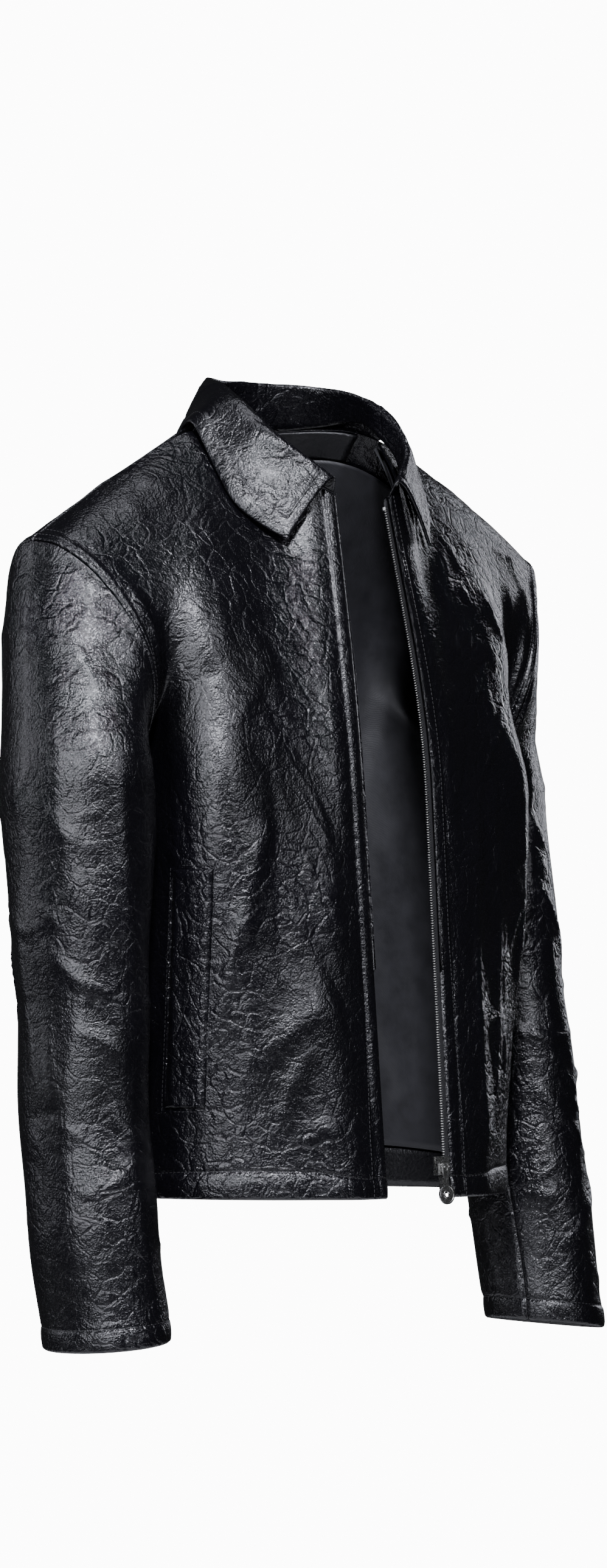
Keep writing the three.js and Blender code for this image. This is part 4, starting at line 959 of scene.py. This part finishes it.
# %% Sleeves
SLEEVE_LENGTH = SLEEVE_DROP - SHOULDER_DROP
SLEEVE_GIRTH = 345.0
FRONT_SEAM, BACK_SEAM = 155 / 360, 245 / 360
sleeve_shapes = {n: sleeve_surface(s, ARM_SECTIONS[n]) for n, s in (("right", -1), ("left", 1))}
# Long folds: start and end in mm round the sleeve and down it, then width and height.
SLEEVE_FOLDS = {
    "right": [
        (28, 70, 40, 280, 15, 2.0), (75, 150, 95, 330, 14, 2.2), (45, 330, 25, 560, 16, 2.2),
        (90, 400, 100, 600, 13, 1.8), (300, 90, 320, 300, 15, 2.0), (110, 120, 150, 250, 11, 1.8),
        (10, 300, 70, 345, 8, 2.8), (60, 430, 120, 470, 8, 2.2), (0, 30, 60, 95, 12, 2.0),
        (330, 250, 352, 430, 12, 2.2), (30, 500, 90, 470, 8, 2.0), (5, 180, 60, 235, 9, 1.9),
    ],
    "left": [
        (30, 60, 60, 240, 11, 2.6), (80, 130, 120, 320, 12, 2.8), (60, 330, 90, 560, 12, 2.4),
        (110, 240, 40, 330, 8, 2.8), (120, 420, 50, 500, 8, 2.4), (30, 480, 110, 560, 8, 2.4),
        (300, 120, 330, 340, 13, 2.4), (130, 180, 60, 230, 8, 2.4),
    ],
}


def sleeve_relief(name, turn, w):
    x, y = turn * SLEEVE_GIRTH, w * SLEEVE_LENGTH
    seed = 41 if name == "right" else 61
    total = np.zeros_like(x)
    crumple = 1.0 if name == "right" else 1.35
    for shift in (-SLEEVE_GIRTH, 0, SLEEVE_GIRTH):
        xs = x + shift
        rng = np.random.default_rng(seed)
        for _ in range(int(95 * crumple)):
            cx, cy = rng.uniform(0, SLEEVE_GIRTH), rng.uniform(20, SLEEVE_LENGTH)
            elbow = math.exp(-((cy - 330) / 110) ** 2)
            turned = rng.normal() * (0.5 - 0.2 * elbow) + rng.choice([0.25, -0.3, 1.2])
            half = rng.uniform(14, 52) / 2 * (1 + elbow)
            step = (math.cos(turned) * half, math.sin(turned) * half)
            tall = rng.uniform(0.3, 1.15) * crumple * (1 + 0.8 * elbow) * rng.choice([1, 1, -0.7])
            total += fold(xs, y, (cx - step[0], cy - step[1]), (cx + step[0], cy + step[1]),
                          rng.uniform(2.4, 6.5), tall, rng.normal() * half * 0.25)
        for x0, y0, x1, y1, wide, tall in SLEEVE_FOLDS[name]:
            total += fold(xs, y, (x0, y0), (x1, y1), wide, tall, 8)
    total += 1.5 * np.sin(y / 31 + 2 * math.pi * turn) * np.sin(y / 57 + 1)
    return total * smooth(y, 6, 36) * (1 - smooth(y, SLEEVE_LENGTH - 26, SLEEVE_LENGTH - 14))


def sleeve(name, side):
    surface = sleeve_shapes[name]
    close = [FRONT_SEAM * SLEEVE_GIRTH, BACK_SEAM * SLEEVE_GIRTH]
    a = lines(0, 1, 3.2, SLEEVE_GIRTH, close)
    b = lines(0.002, 1, 3.0, SLEEVE_LENGTH, [1, SLEEVE_LENGTH - CUFF_STITCH, SLEEVE_LENGTH - 2])
    turn, w = np.meshgrid(a, b, indexing="ij")
    point = surface(turn, w)
    normal = grid_normals(point, side, wrap=True)
    seam = np.minimum(abs(turn - FRONT_SEAM), abs(turn - BACK_SEAM)) * SLEEVE_GIRTH
    out_y = (1 - w) * SLEEVE_LENGTH
    relief = sleeve_relief(name, turn, w)
    top = relief + groove(seam, 1.3, 1.2) + 0.5 * np.exp(-((seam - 4) / 2.5) ** 2)
    top += rolled(out_y, EDGE_ROLL) + rolled(w * SLEEVE_LENGTH, 2.0)
    top += puffed(out_y, CUFF_STITCH, 0.9) + groove(out_y - CUFF_STITCH)
    piece, outer = sheet_mesh(
        f"sleeve_hide_{name}", point, normal, top, relief - LEATHER, hide, side, wrap=True)
    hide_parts(f"sleeve_top_{name}", f"sleeve_under_{name}")
    declare(piece, point)
    bend_sleeve(piece)
    return Patch(a, b, outer, normal)


def bend_sleeve(piece):
    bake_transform(piece)


sleeves = {name: sleeve(name, side) for name, side in (("right", -1), ("left", 1))}
print("sleeves", declared["sleeve_hide_right"])

# %% [markdown]
# ## Collar
# A shirt collar is a stand, which rises from the neck seam, and a leaf, which folds over it
# and comes down to two points. Two plies and a padding make the leaf thick, so its edge is a
# round roll, and the stitch row beside the edge makes it puff.

# %% Collar
CHEST_CENTRE = vec(0, 0, -160)
COLLAR_STITCH, LEAF_DEPTH = 9.5, 62.0


def rest_on(surface, x, y, z, stand=6.0):
    """The nearest point of a panel to a place, moved out to where the collar rests."""
    target = vec(x, y, z)
    best, reach = (0.5, 0.8), 0.5
    while reach > 1e-4:
        u = np.clip(np.linspace(best[0] - reach, best[0] + reach, 13), 0, 1)
        v = np.clip(np.linspace(best[1] - reach, best[1] + reach, 13), 0, 1)
        gu, gv = np.meshgrid(u, v, indexing="ij")
        far = np.linalg.norm(surface(gu, gv) - target, axis=-1)
        k = np.unravel_index(far.argmin(), far.shape)
        best, reach = (gu[k], gv[k]), reach / 3
    s = np.clip(np.array([best[0] - 0.004, best[0] + 0.004]), 0, 1)
    t = np.clip(np.array([best[1] - 0.004, best[1] + 0.004]), 0, 1)
    across = np.diff(surface(s, np.full(2, best[1])), axis=0)[0]
    upward = np.diff(surface(np.full(2, best[0]), t), axis=0)[0]
    normal = np.cross(across, upward)
    found = surface(np.array([best[0]]), np.array([best[1]]))[0]
    normal *= np.sign(normal @ (found - CHEST_CENTRE)) / np.linalg.norm(normal)
    return found + normal * stand


left = front_shapes["left"]
leaf_half = [
    rest_on(left, neck_front[0] + 51, -NECK_FRONT - 7, -NECK_FRONT_DROP - 35),
    rest_on(left, NECK_HALF + 16, -NECK_FRONT * 0.89, -80),
    rest_on(left, NECK_HALF + 23, -NECK_FRONT * 0.67, -62),
    rest_on(left, NECK_HALF + 27, -NECK_FRONT * 0.34, -35),
    rest_on(left, NECK_HALF + 26, 1, -10, 10.2),
    rest_on(back_surface, NECK_HALF + 20, NECK_BACK * 0.42, -4, 8.1),
    rest_on(back_surface, NECK_HALF * 0.98, NECK_BACK * 0.86, -4),
    rest_on(back_surface, NECK_HALF * 0.5, NECK_BACK * 1.12, -6),
    rest_on(back_surface, 0, NECK_BACK * 1.2, -7)]
fold_half = [
    neck_front + vec(3, -6, 11), front_neck.at(0.4) + vec(2, -6, 18), front_neck.at(0.75) + vec(-2, -4, 24),
    shoulder_neck + vec(-12, -2, 24), back_neck.at(0.6) + vec(-9, -9, 33), nape + vec(0, -8, 40)]
neck_half = [front_neck.at(t) for t in (0, 0.25, 0.5, 0.75)]
neck_half += [shoulder_neck, back_neck.at(0.66), back_neck.at(0.33), nape]


def both_halves(half):
    return through([p * vec(-1, 1, 1) for p in half] + half[:-1][::-1])


neck_line, fold_line, leaf_line = (both_halves(h) for h in (neck_half, fold_half, leaf_half))
COLLAR_LENGTH = leaf_line.length


def collar_profile(t, s):
    """s from -1 at the neck seam by way of 0 at the fold to 1 at the leaf's outer edge."""
    neck, top_of, edge = neck_line.at(t), fold_line.at(t), leaf_line.at(t)
    stand = mix(neck, top_of, np.clip(s + 1, 0, 1)[..., None])
    step = (edge - top_of) * vec(1, 1, 0) * 0.22
    radial = (top_of + vec(0, 10, 0)) * vec(1, 1, 0)
    radial = radial / np.linalg.norm(radial, axis=-1, keepdims=True) * 3.5
    crest = top_of + step + radial + vec(0, 0, 3)
    k = np.clip(s, 0, 1)[..., None]
    leaf = top_of * (1 - k) ** 2 + crest * (2 * k * (1 - k)) + edge * k * k
    return np.where((s < 0)[..., None], stand, leaf)


def collar():
    far_end = COLLAR_LENGTH * 0.996
    a = lines(0.002, 0.998, 3.0, COLLAR_LENGTH, [1, COLLAR_STITCH, far_end - COLLAR_STITCH, far_end - 1])
    s = np.concatenate([np.linspace(-0.98, -0.05, 12), np.linspace(0, 1, 40)])
    s = np.array(sorted(set(s) | {1 - d / LEAF_DEPTH for d in (0.4, 1, 1.8, 8, 8.8, 9.5, 10.2, 11)}))
    t, k = np.meshgrid(a, s, indexing="ij")
    point = collar_profile(t, k)
    for _ in range(10):  # round the fold
        near = np.exp(-(k[:, 1:-1] / 0.13) ** 2)[..., None] * 0.5
        point[:, 1:-1] += near * ((point[:, :-2] + point[:, 2:]) / 2 - point[:, 1:-1])
    normal = grid_normals(point, 1)
    outward = point[:, -1] - CHEST_CENTRE
    if (normal[:, -1] * outward).sum() < 0:
        normal = -normal
    depth = np.linalg.norm(leaf_line.at(a) - fold_line.at(a), axis=-1)[:, None]
    from_edge = np.where(k > 0, (1 - k) * depth, 99.0)
    ends = np.minimum(t - a[0], a[-1] - t) * COLLAR_LENGTH
    x, y = t * COLLAR_LENGTH, k * LEAF_DEPTH
    leaf_part = smooth(k, 0.02, 0.2)
    relief = creases(x, y, 71, 110, 0.7, 0.5, (14, 48), (2.4, 5.5), (0.4, 1.3))
    relief += swell(x, y, 72, 70, 1.6)
    relief += creases(x, y, 73, 50, 1.3, 0.5, (12, 40), (2.2, 4.5), (0.2, 0.6))
    relief = relief * (0.25 + 0.75 * leaf_part) * smooth(from_edge, 1, 9) * smooth(ends, 1, 9)
    thick = 2.2 * (0.55 + 0.45 * leaf_part)
    top = thick * 0.55 + relief
    rim = np.minimum(from_edge, ends)
    top += puffed(rim, COLLAR_STITCH, 0.45) * leaf_part + groove(rim - COLLAR_STITCH, 0.4, 1.1) * leaf_part
    roll = np.sqrt(1 - np.clip(1 - rim / 2.4, 0, 1) ** 2 * 0.97)
    foot = np.clip((k + 0.98) / 0.06, 0.3, 1)
    top = top * roll * foot
    bottom = (-thick * 0.75 + np.minimum(relief, 0) * 0.3) * roll * foot
    side = 1 if (grid_normals(point, 1)[:, -1] * outward).sum() > 0 else -1
    piece, outer = sheet_mesh("collar", point, normal, top, bottom, hide, side)
    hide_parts("collar_leaf", "undercollar", "collar_stand")
    declare(piece, point)
    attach(piece, "jacket_body")
    return Patch(a, s, outer, normal)


collar_patch = collar()
print("collar", declared["collar"])

# %% [markdown]
# ## Pocket welts
# A welt is a folded strip of hide that covers the slit. It stands a little proud of the
# panel and has round edges, and stitches around it hold it down. It could be cut from the
# panel's own mesh, but as a piece of its own it keeps a clean edge.


# %% Pocket welts
WELT_GAP = 0.6
WELT_COVER = WELT_WIDTH + SLOT_WIDTH + WELT_GAP  # across the strip and the slit under it


def pocket_welt(name, side):
    surface = front_shapes[name]
    a = lines(0, 1, 2.2, WELT_WIDTH, [1, WELT_WIDTH - 1])
    b = lines(0, 1, 3.0, WELT_LENGTH, [1, WELT_LENGTH - 1])
    across, up = np.meshgrid(a, b, indexing="ij")
    u, v = pocket_place(surface, WELT_GAP + across * WELT_COVER, up)
    point = surface(u, v)
    normal = grid_normals(point, -side)
    rim = np.minimum(np.minimum(across, 1 - across) * WELT_WIDTH, np.minimum(up, 1 - up) * WELT_LENGTH)
    relief = creases(across * WELT_WIDTH, up * WELT_LENGTH, 81, 16, 0.2, 0.5, (8, 20), (2, 4), (0.2, 0.5))
    high = 2.3 + puffed(rim, 7, 1.0) + puffed(rim - 5, 12, 0.5)
    high = high + relief * smooth(rim, 0, 4) + rolled(rim, 2.0)
    under = np.full_like(high, 0.1)
    piece, _ = sheet_mesh(f"pocket_welt_hide_{name}", point, normal, high, under, hide, -side)
    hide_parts(f"pocket_welt_{name}")
    declare(piece, point)
    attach(piece, "jacket_body")


for name, side in (("right", -1), ("left", 1)):
    pocket_welt(name, side)
print("welts", declared["pocket_welt_hide_left"])

# %% [markdown]
# ## Inside
# The inside has a wide hide facing along each front edge, hide turned up at the hem, at the
# cuffs and round the neck, and smooth black lining over the rest. Each lies at its own depth
# under the hide and takes its broad shape from it.


# %% Facings, turned edges and linings
SOFT_THICK, LINING_THICK = 1.1, 0.6


def inner_piece(name, node, surface, a_range, b_range, size, near, thick, material, side, relief):
    a = lines(*a_range, 6, size[0])
    b = lines(*b_range, 6, size[1])
    grid_a, grid_b = np.meshgrid(a, b, indexing="ij")
    point = surface(grid_a, grid_b)
    normal = grid_normals(point, side)
    high = near + (np.minimum(relief(grid_a, grid_b), 0.6) if relief else 0)
    piece, _ = sheet_mesh(name, point, normal, high, high - thick, material, side)
    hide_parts(node)
    declare(piece, point)
    return piece


facing_share = 58 / FRONT_WIDTH
hem_share = 28 / BODY_LENGTH
for name, side in (("right", -1), ("left", 1)):
    shape, size = on_base(bases[f"front_{name}"]), (FRONT_WIDTH, PANEL_HEIGHT)
    relief = lambda a, b, name=name: front_relief(name, leaning(a, b), b)
    begin = (5.4 if name == "right" else 1.0) / FRONT_WIDTH
    pieces = [
        inner_piece(f"facing_hide_{name}", f"front_facing_{name}", shape, (begin, facing_share),
                    (0, 0.997), size, -4.0, SOFT_THICK, soft_hide, side, None),
        inner_piece(f"hem_fold_{name}", f"hem_turn_{name}", shape, (facing_share + 0.005, 0.985),
                    (0.001, hem_share), size, -1.75, SOFT_THICK, soft_hide, side, relief),
        inner_piece(f"lining_{name}", f"front_lining_{name}", shape, (facing_share + 0.005, 0.98),
                    (hem_share, 0.994), size, -5.6, LINING_THICK, lining_cloth, side, relief),
    ]
    for piece in pieces:
        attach(piece, "jacket_body")

size = (BACK_WIDTH, BODY_LENGTH)
back_base = on_base(bases["back"])
neck_depth = 52 / BODY_LENGTH
for piece in (
    inner_piece("hem_fold_back", "hem_turn_back", back_base, (-0.985, 0.985), (0.001, hem_share), size,
                -1.75, SOFT_THICK, soft_hide, -1, back_relief),
    inner_piece("neck_facing_hide", "neck_facing", back_base, (-0.34, 0.34), (1 - neck_depth, 0.997), size,
                -1.95, SOFT_THICK, soft_hide, -1, None),
    inner_piece("lining_back", "back_lining", back_base, (-0.965, 0.965), (hem_share, 1 - neck_depth), size,
                -4.2, LINING_THICK, lining_cloth, -1, back_relief),
):
    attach(piece, "jacket_body")

cuff_share = 27 / SLEEVE_LENGTH
for name, side in (("right", -1), ("left", 1)):
    relief = lambda a, b, name=name: sleeve_relief(name, a, b)
    for part, node, rows, near, thick, material, held, slot in (
        ("cuff_fold", "cuff_turn", (1 - cuff_share, 1), -1.75, SOFT_THICK, soft_hide, "folded", "leather"),
        ("sleeve_lining_cloth", "sleeve_lining", (0.03, 1 - cuff_share), -4.2, LINING_THICK,
         lining_cloth, "hung", "lining"),
    ):
        piece = inner_piece(f"{part}_{name}", f"{node}_{name}", sleeve_shapes[name], (0.001, 0.999), rows,
                            (SLEEVE_GIRTH, SLEEVE_LENGTH), near, thick, material, side, relief)
        bend_sleeve(piece)
print("inner pieces", len(declared))

# %% [markdown]
# ## Stitches
# Every stitch is the same small bar of thread, laid along a row. Geometry Nodes set one bar
# on each point of a mesh: two attributes on the points give the way along the row and the
# The result is turned into a plain mesh, one for the body and one for each sleeve.


# %% Stitch nodes
def setting_tree(name, material):
    """Geometry nodes that set a shape on every point, turned by the point's attributes."""
    tree = bpy.data.node_groups.new(name, "GeometryNodeTree")
    tree.interface.new_socket("Geometry", in_out="INPUT", socket_type="NodeSocketGeometry")
    for label, size in (("Length", 0.0027), ("Width", 0.0007), ("Height", 0.0005)):
        socket = tree.interface.new_socket(label, in_out="INPUT", socket_type="NodeSocketFloat")
        socket.default_value = size
    tree.interface.new_socket("Geometry", in_out="OUTPUT", socket_type="NodeSocketGeometry")
    node = {}
    for label, kind in (
        ("in", "NodeGroupInput"), ("out", "NodeGroupOutput"), ("bar", "GeometryNodeMeshUVSphere"),
        ("size", "ShaderNodeCombineXYZ"), ("fit", "GeometryNodeTransform"),
        ("points", "GeometryNodeMeshToPoints"), ("set", "GeometryNodeInstanceOnPoints"),
        ("along", "GeometryNodeInputNamedAttribute"), ("outward", "GeometryNodeInputNamedAttribute"),
        ("turn", "FunctionNodeAlignRotationToVector"), ("tip", "FunctionNodeAlignRotationToVector"),
        ("real", "GeometryNodeRealizeInstances"), ("paint", "GeometryNodeSetMaterial"),
    ):
        node[label] = tree.nodes.new(kind)
    node["bar"].inputs["Segments"].default_value = 6
    node["bar"].inputs["Rings"].default_value = 4
    node["bar"].inputs["Radius"].default_value = 0.5
    for label in ("along", "outward"):
        node[label].data_type = "FLOAT_VECTOR"
        node[label].inputs["Name"].default_value = label
    node["turn"].axis = "X"
    node["tip"].axis = "Z"
    node["tip"].pivot_axis = "X"
    node["paint"].inputs["Material"].default_value = material
    link = tree.links.new
    for axis, label in zip("XYZ", ("Length", "Width", "Height")):
        link(node["in"].outputs[label], node["size"].inputs[axis])
    link(node["bar"].outputs["Mesh"], node["fit"].inputs["Geometry"])
    link(node["size"].outputs[0], node["fit"].inputs["Scale"])
    link(node["in"].outputs["Geometry"], node["points"].inputs["Mesh"])
    link(node["points"].outputs[0], node["set"].inputs["Points"])
    link(node["fit"].outputs[0], node["set"].inputs["Instance"])
    link(node["along"].outputs["Attribute"], node["turn"].inputs["Vector"])
    link(node["turn"].outputs[0], node["tip"].inputs["Rotation"])
    link(node["outward"].outputs["Attribute"], node["tip"].inputs["Vector"])
    link(node["tip"].outputs[0], node["set"].inputs["Rotation"])
    link(node["set"].outputs[0], node["real"].inputs["Geometry"])
    link(node["real"].outputs[0], node["paint"].inputs["Geometry"])
    link(node["paint"].outputs[0], node["out"].inputs["Geometry"])
    return tree


def set_along(name, rows, tree, sizes):
    """Turns rows of (points, ways along, ways out) in mm into a mesh of set shapes."""
    point, along, outward = (np.concatenate([row[k] for row in rows]) for k in range(3))
    mesh = bpy.data.meshes.new(name + "_points")
    mesh.from_pydata((point * MM).tolist(), [], [])
    for label, data in (("along", along), ("outward", outward)):
        mesh.attributes.new(label, "FLOAT_VECTOR", "POINT").data.foreach_set("vector", data.ravel())
    guide = bpy.data.objects.new(name + "_points", mesh)
    bpy.context.collection.objects.link(guide)
    modifier = guide.modifiers.new("set", "NODES")
    modifier.node_group = tree
    for item in tree.interface.items_tree:
        if item.in_out == "INPUT" and item.name in sizes:
            modifier[item.identifier] = sizes[item.name]
    made = guide.evaluated_get(bpy.context.evaluated_depsgraph_get())
    plain = bpy.data.meshes.new_from_object(made)
    plain.name = name
    for label in ("along", "outward"):
        if label in plain.attributes:
            plain.attributes.remove(plain.attributes[label])
    obj = bpy.data.objects.new(name, plain)
    bpy.context.collection.objects.link(obj)
    bpy.data.objects.remove(guide)
    return obj, len(point)


stitch_tree = setting_tree("set stitches", thread)
print("stitch nodes", len(stitch_tree.nodes))


# %% Stitch rows
ROW_SAMPLES, STITCH_PITCH = 400, 3.6


def shares(low, high):
    return np.linspace(low, high, ROW_SAMPLES)


def row_on(patch, a, b, pitch=STITCH_PITCH):
    """A row of stitches along a line of shares on a finished face."""
    a, b = (np.broadcast_to(np.asarray(x, float), (ROW_SAMPLES,)) for x in (a, b))
    point, normal = patch.read(a, b)
    run = np.concatenate([[0], np.cumsum(np.linalg.norm(np.diff(point, axis=0), axis=1))])
    at = np.arange(pitch / 2, run[-1], pitch)
    place = np.stack([np.interp(at, run, point[:, k]) for k in range(3)], -1)
    out = np.stack([np.interp(at, run, normal[:, k]) for k in range(3)], -1)
    out /= np.linalg.norm(out, axis=-1, keepdims=True)
    ahead = np.stack([np.interp(at + 1, run, point[:, k]) for k in range(3)], -1)
    behind = np.stack([np.interp(at - 1, run, point[:, k]) for k in range(3)], -1)
    way = ahead - behind
    way /= np.maximum(np.linalg.norm(way, axis=-1, keepdims=True), 1e-9)
    return place + out * 0.1, way, out


full = shares(0.002, 0.998)
body_rows = []
for name in ("right", "left"):
    patch = fronts[name]
    body_rows.append(row_on(patch, EDGE_STITCH / FRONT_WIDTH, full))
    hem_row = shares(EDGE_STITCH / FRONT_WIDTH, 0.995)
    body_rows.append(row_on(patch, hem_row, HEM_STITCH / PANEL_HEIGHT))
    for mm in SEAM_STITCHES:
        body_rows.append(row_on(patch, 1 - mm / FRONT_WIDTH, shares(ARMHOLE_SHARE + 0.01, 0.995)))
    surface = front_shapes[name]
    rear, front = SLOT_WIDTH - 5, SLOT_WIDTH + WELT_WIDTH + 2
    around = (rear, 0), (rear, 1), (front, 1), (front, 0), (rear, 0)
    corners = [(a, b + (2 * b - 1) * 0.016) for a, b in around]
    for (a0, b0), (a1, b1) in zip(corners, corners[1:]):
        if a0 == a1 and a0 < SLOT_WIDTH:
            a0 = a1 = -3.2  # behind the slit
        u, v = pocket_place(surface, shares(a0, a1), shares(b0, b1))
        lean = WELT_LEAN / FRONT_WIDTH * (1 - 2 * np.clip((v - foot_v) / (head_v - foot_v), 0, 1))
        body_rows.append(row_on(patch, u - lean * np.sin(math.pi * u) ** 0.5, v))
body_rows.append(row_on(back, shares(-0.998, 0.998), HEM_STITCH / BODY_LENGTH))
for side in (-1, 1):
    for mm in SEAM_STITCHES:
        beside = side * (1 - mm / BACK_WIDTH)
        body_rows.append(row_on(back, beside, shares(ARMHOLE_SHARE + 0.01, 0.99)))
    body_rows.append(row_on(back, side * shares(BACK_NECK_SHARE, 0.99), 1 - 4 / BODY_LENGTH))
in_from_edge = 1 - COLLAR_STITCH / LEAF_DEPTH
low_t, high_t = COLLAR_STITCH / COLLAR_LENGTH, 1 - COLLAR_STITCH / COLLAR_LENGTH
body_rows.append(row_on(collar_patch, shares(low_t, high_t), in_from_edge))
for t in (low_t, high_t):
    body_rows.append(row_on(collar_patch, t, shares(0.05, in_from_edge)))
thread_size = {"Length": 0.0028, "Width": 0.00075, "Height": 0.0006}
stitches, count = set_along("body_stitches", body_rows, stitch_tree, thread_size)
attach(stitches, "jacket_body")
print("body stitches", count)
for name in ("right", "left"):
    rows = [row_on(sleeves[name], shares(0, 1), 1 - CUFF_STITCH / SLEEVE_LENGTH)]
    rows.append(row_on(sleeves[name], BACK_SEAM + 3.6 / SLEEVE_GIRTH, shares(0.01, 0.99)))
    piece, count = set_along(f"sleeve_stitches_{name}", rows, stitch_tree, thread_size)
    bend_sleeve(piece)
    print("sleeve stitches", name, count)

# %% [markdown]
# ## Zip
# A separating zip has two woven tapes, a row of metal teeth on each, a slider that stays on
# one row, and a box that receives the pin of the other. Teeth repeat every 2 mm, so the same
# nodes that lay the stitches set them on points along the edge.

# %% Zip tapes and teeth
TAPE_DEPTH, CHAIN_WIDTH, TOOTH_PITCH = -3.3, 3.6, 2.0
chain_middle = {"right": 2.6, "left": -3.6}
EDGE_RUN = front_edge.length
TAPE_HALF = 0.35  # half the tape's thickness
FIRST_TOOTH, LAST_TOOTH = 18, 9  # mm from the foot and from the top of the edge


def beside_edge(side, mm, v):
    return stance(strip(np.asarray(mm, float) / FRONT_WIDTH, np.asarray(v, float)) * vec(side, 1, 1))


teeth_tree = setting_tree("set zip teeth", silver)
for name, side in (("right", -1), ("left", 1)):
    middle = chain_middle[name]
    a = np.linspace(middle + CHAIN_WIDTH / 2 - 1.2, middle + CHAIN_WIDTH / 2 + 12, 12)
    b = np.linspace(3 / EDGE_RUN, 1 - 3 / EDGE_RUN, 190)
    mm, v = np.meshgrid(a, b, indexing="ij")
    point = beside_edge(side, mm, v)
    normal = grid_normals(point, side)
    bead = np.where(mm < a[2], 0.35, 0.0)
    high, low = TAPE_DEPTH + TAPE_HALF + bead, TAPE_DEPTH - TAPE_HALF - bead
    piece, _ = sheet_mesh(f"zip_tape_cloth_{name}", point, normal, high, low, tape_cloth, side)
    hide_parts(f"zip_tape_{name}")
    declare(piece, point)
    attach(piece, "jacket_body")
    run = np.arange(FIRST_TOOTH, EDGE_RUN - LAST_TOOTH, TOOTH_PITCH) / EDGE_RUN
    centre = beside_edge(side, np.full_like(run, middle), run)
    ahead = beside_edge(side, np.full_like(run, middle), run + 0.002) - centre
    inward = beside_edge(side, np.full_like(run, middle + 2), run) - centre
    out = np.cross(inward, ahead) * side
    out /= np.linalg.norm(out, axis=-1, keepdims=True)
    if out[0, 1] > 0:
        out = -out
    inward /= np.linalg.norm(inward, axis=-1, keepdims=True)
    teeth, count = set_along(
        f"zip_teeth_metal_{name}", [(centre + out * TAPE_DEPTH, inward, out)], teeth_tree,
        {"Length": 0.0040, "Width": 0.0014, "Height": 0.0028})
    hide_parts(f"zip_teeth_{name}")
    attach(teeth, "jacket_body")
    print("teeth", name, count)

# %% [markdown]
# ## Metal parts and what stays from the solid model
# The slider, its bridge, the stem, the disc, the stops, the box and the pin have their shapes
# in the solid model, so they only get worn silver metal. Their edges stay sharp. The hanger
# loop and the blank label stay as well, in soft hide, and the pocket bags in lining cloth.

# %% Materials for solid pieces that stay
finishes = {
    silver: ["zip_slider", "zip_slider_bridge", "zip_pull_stem", "zip_retainer_box", "zip_insertion_pin",
             "zip_top_stop_right", "zip_top_stop_left", "zip_pull_disc"],
    soft_hide: ["hanger_loop", "neck_label"],
    lining_cloth: ["pocket_bag_right", "pocket_bag_left"],
}
for material, names in finishes.items():
    for name in names:
        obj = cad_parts[name]
        obj.data.materials.clear()
        obj.data.materials.append(material)
print("kept", sum(len(n) for n in finishes.values()))

# %% [markdown]
# ## Finish
# The bounds of the finished jacket are measured.

# %% Sizes and finish
low, high = (Vector(p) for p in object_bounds())
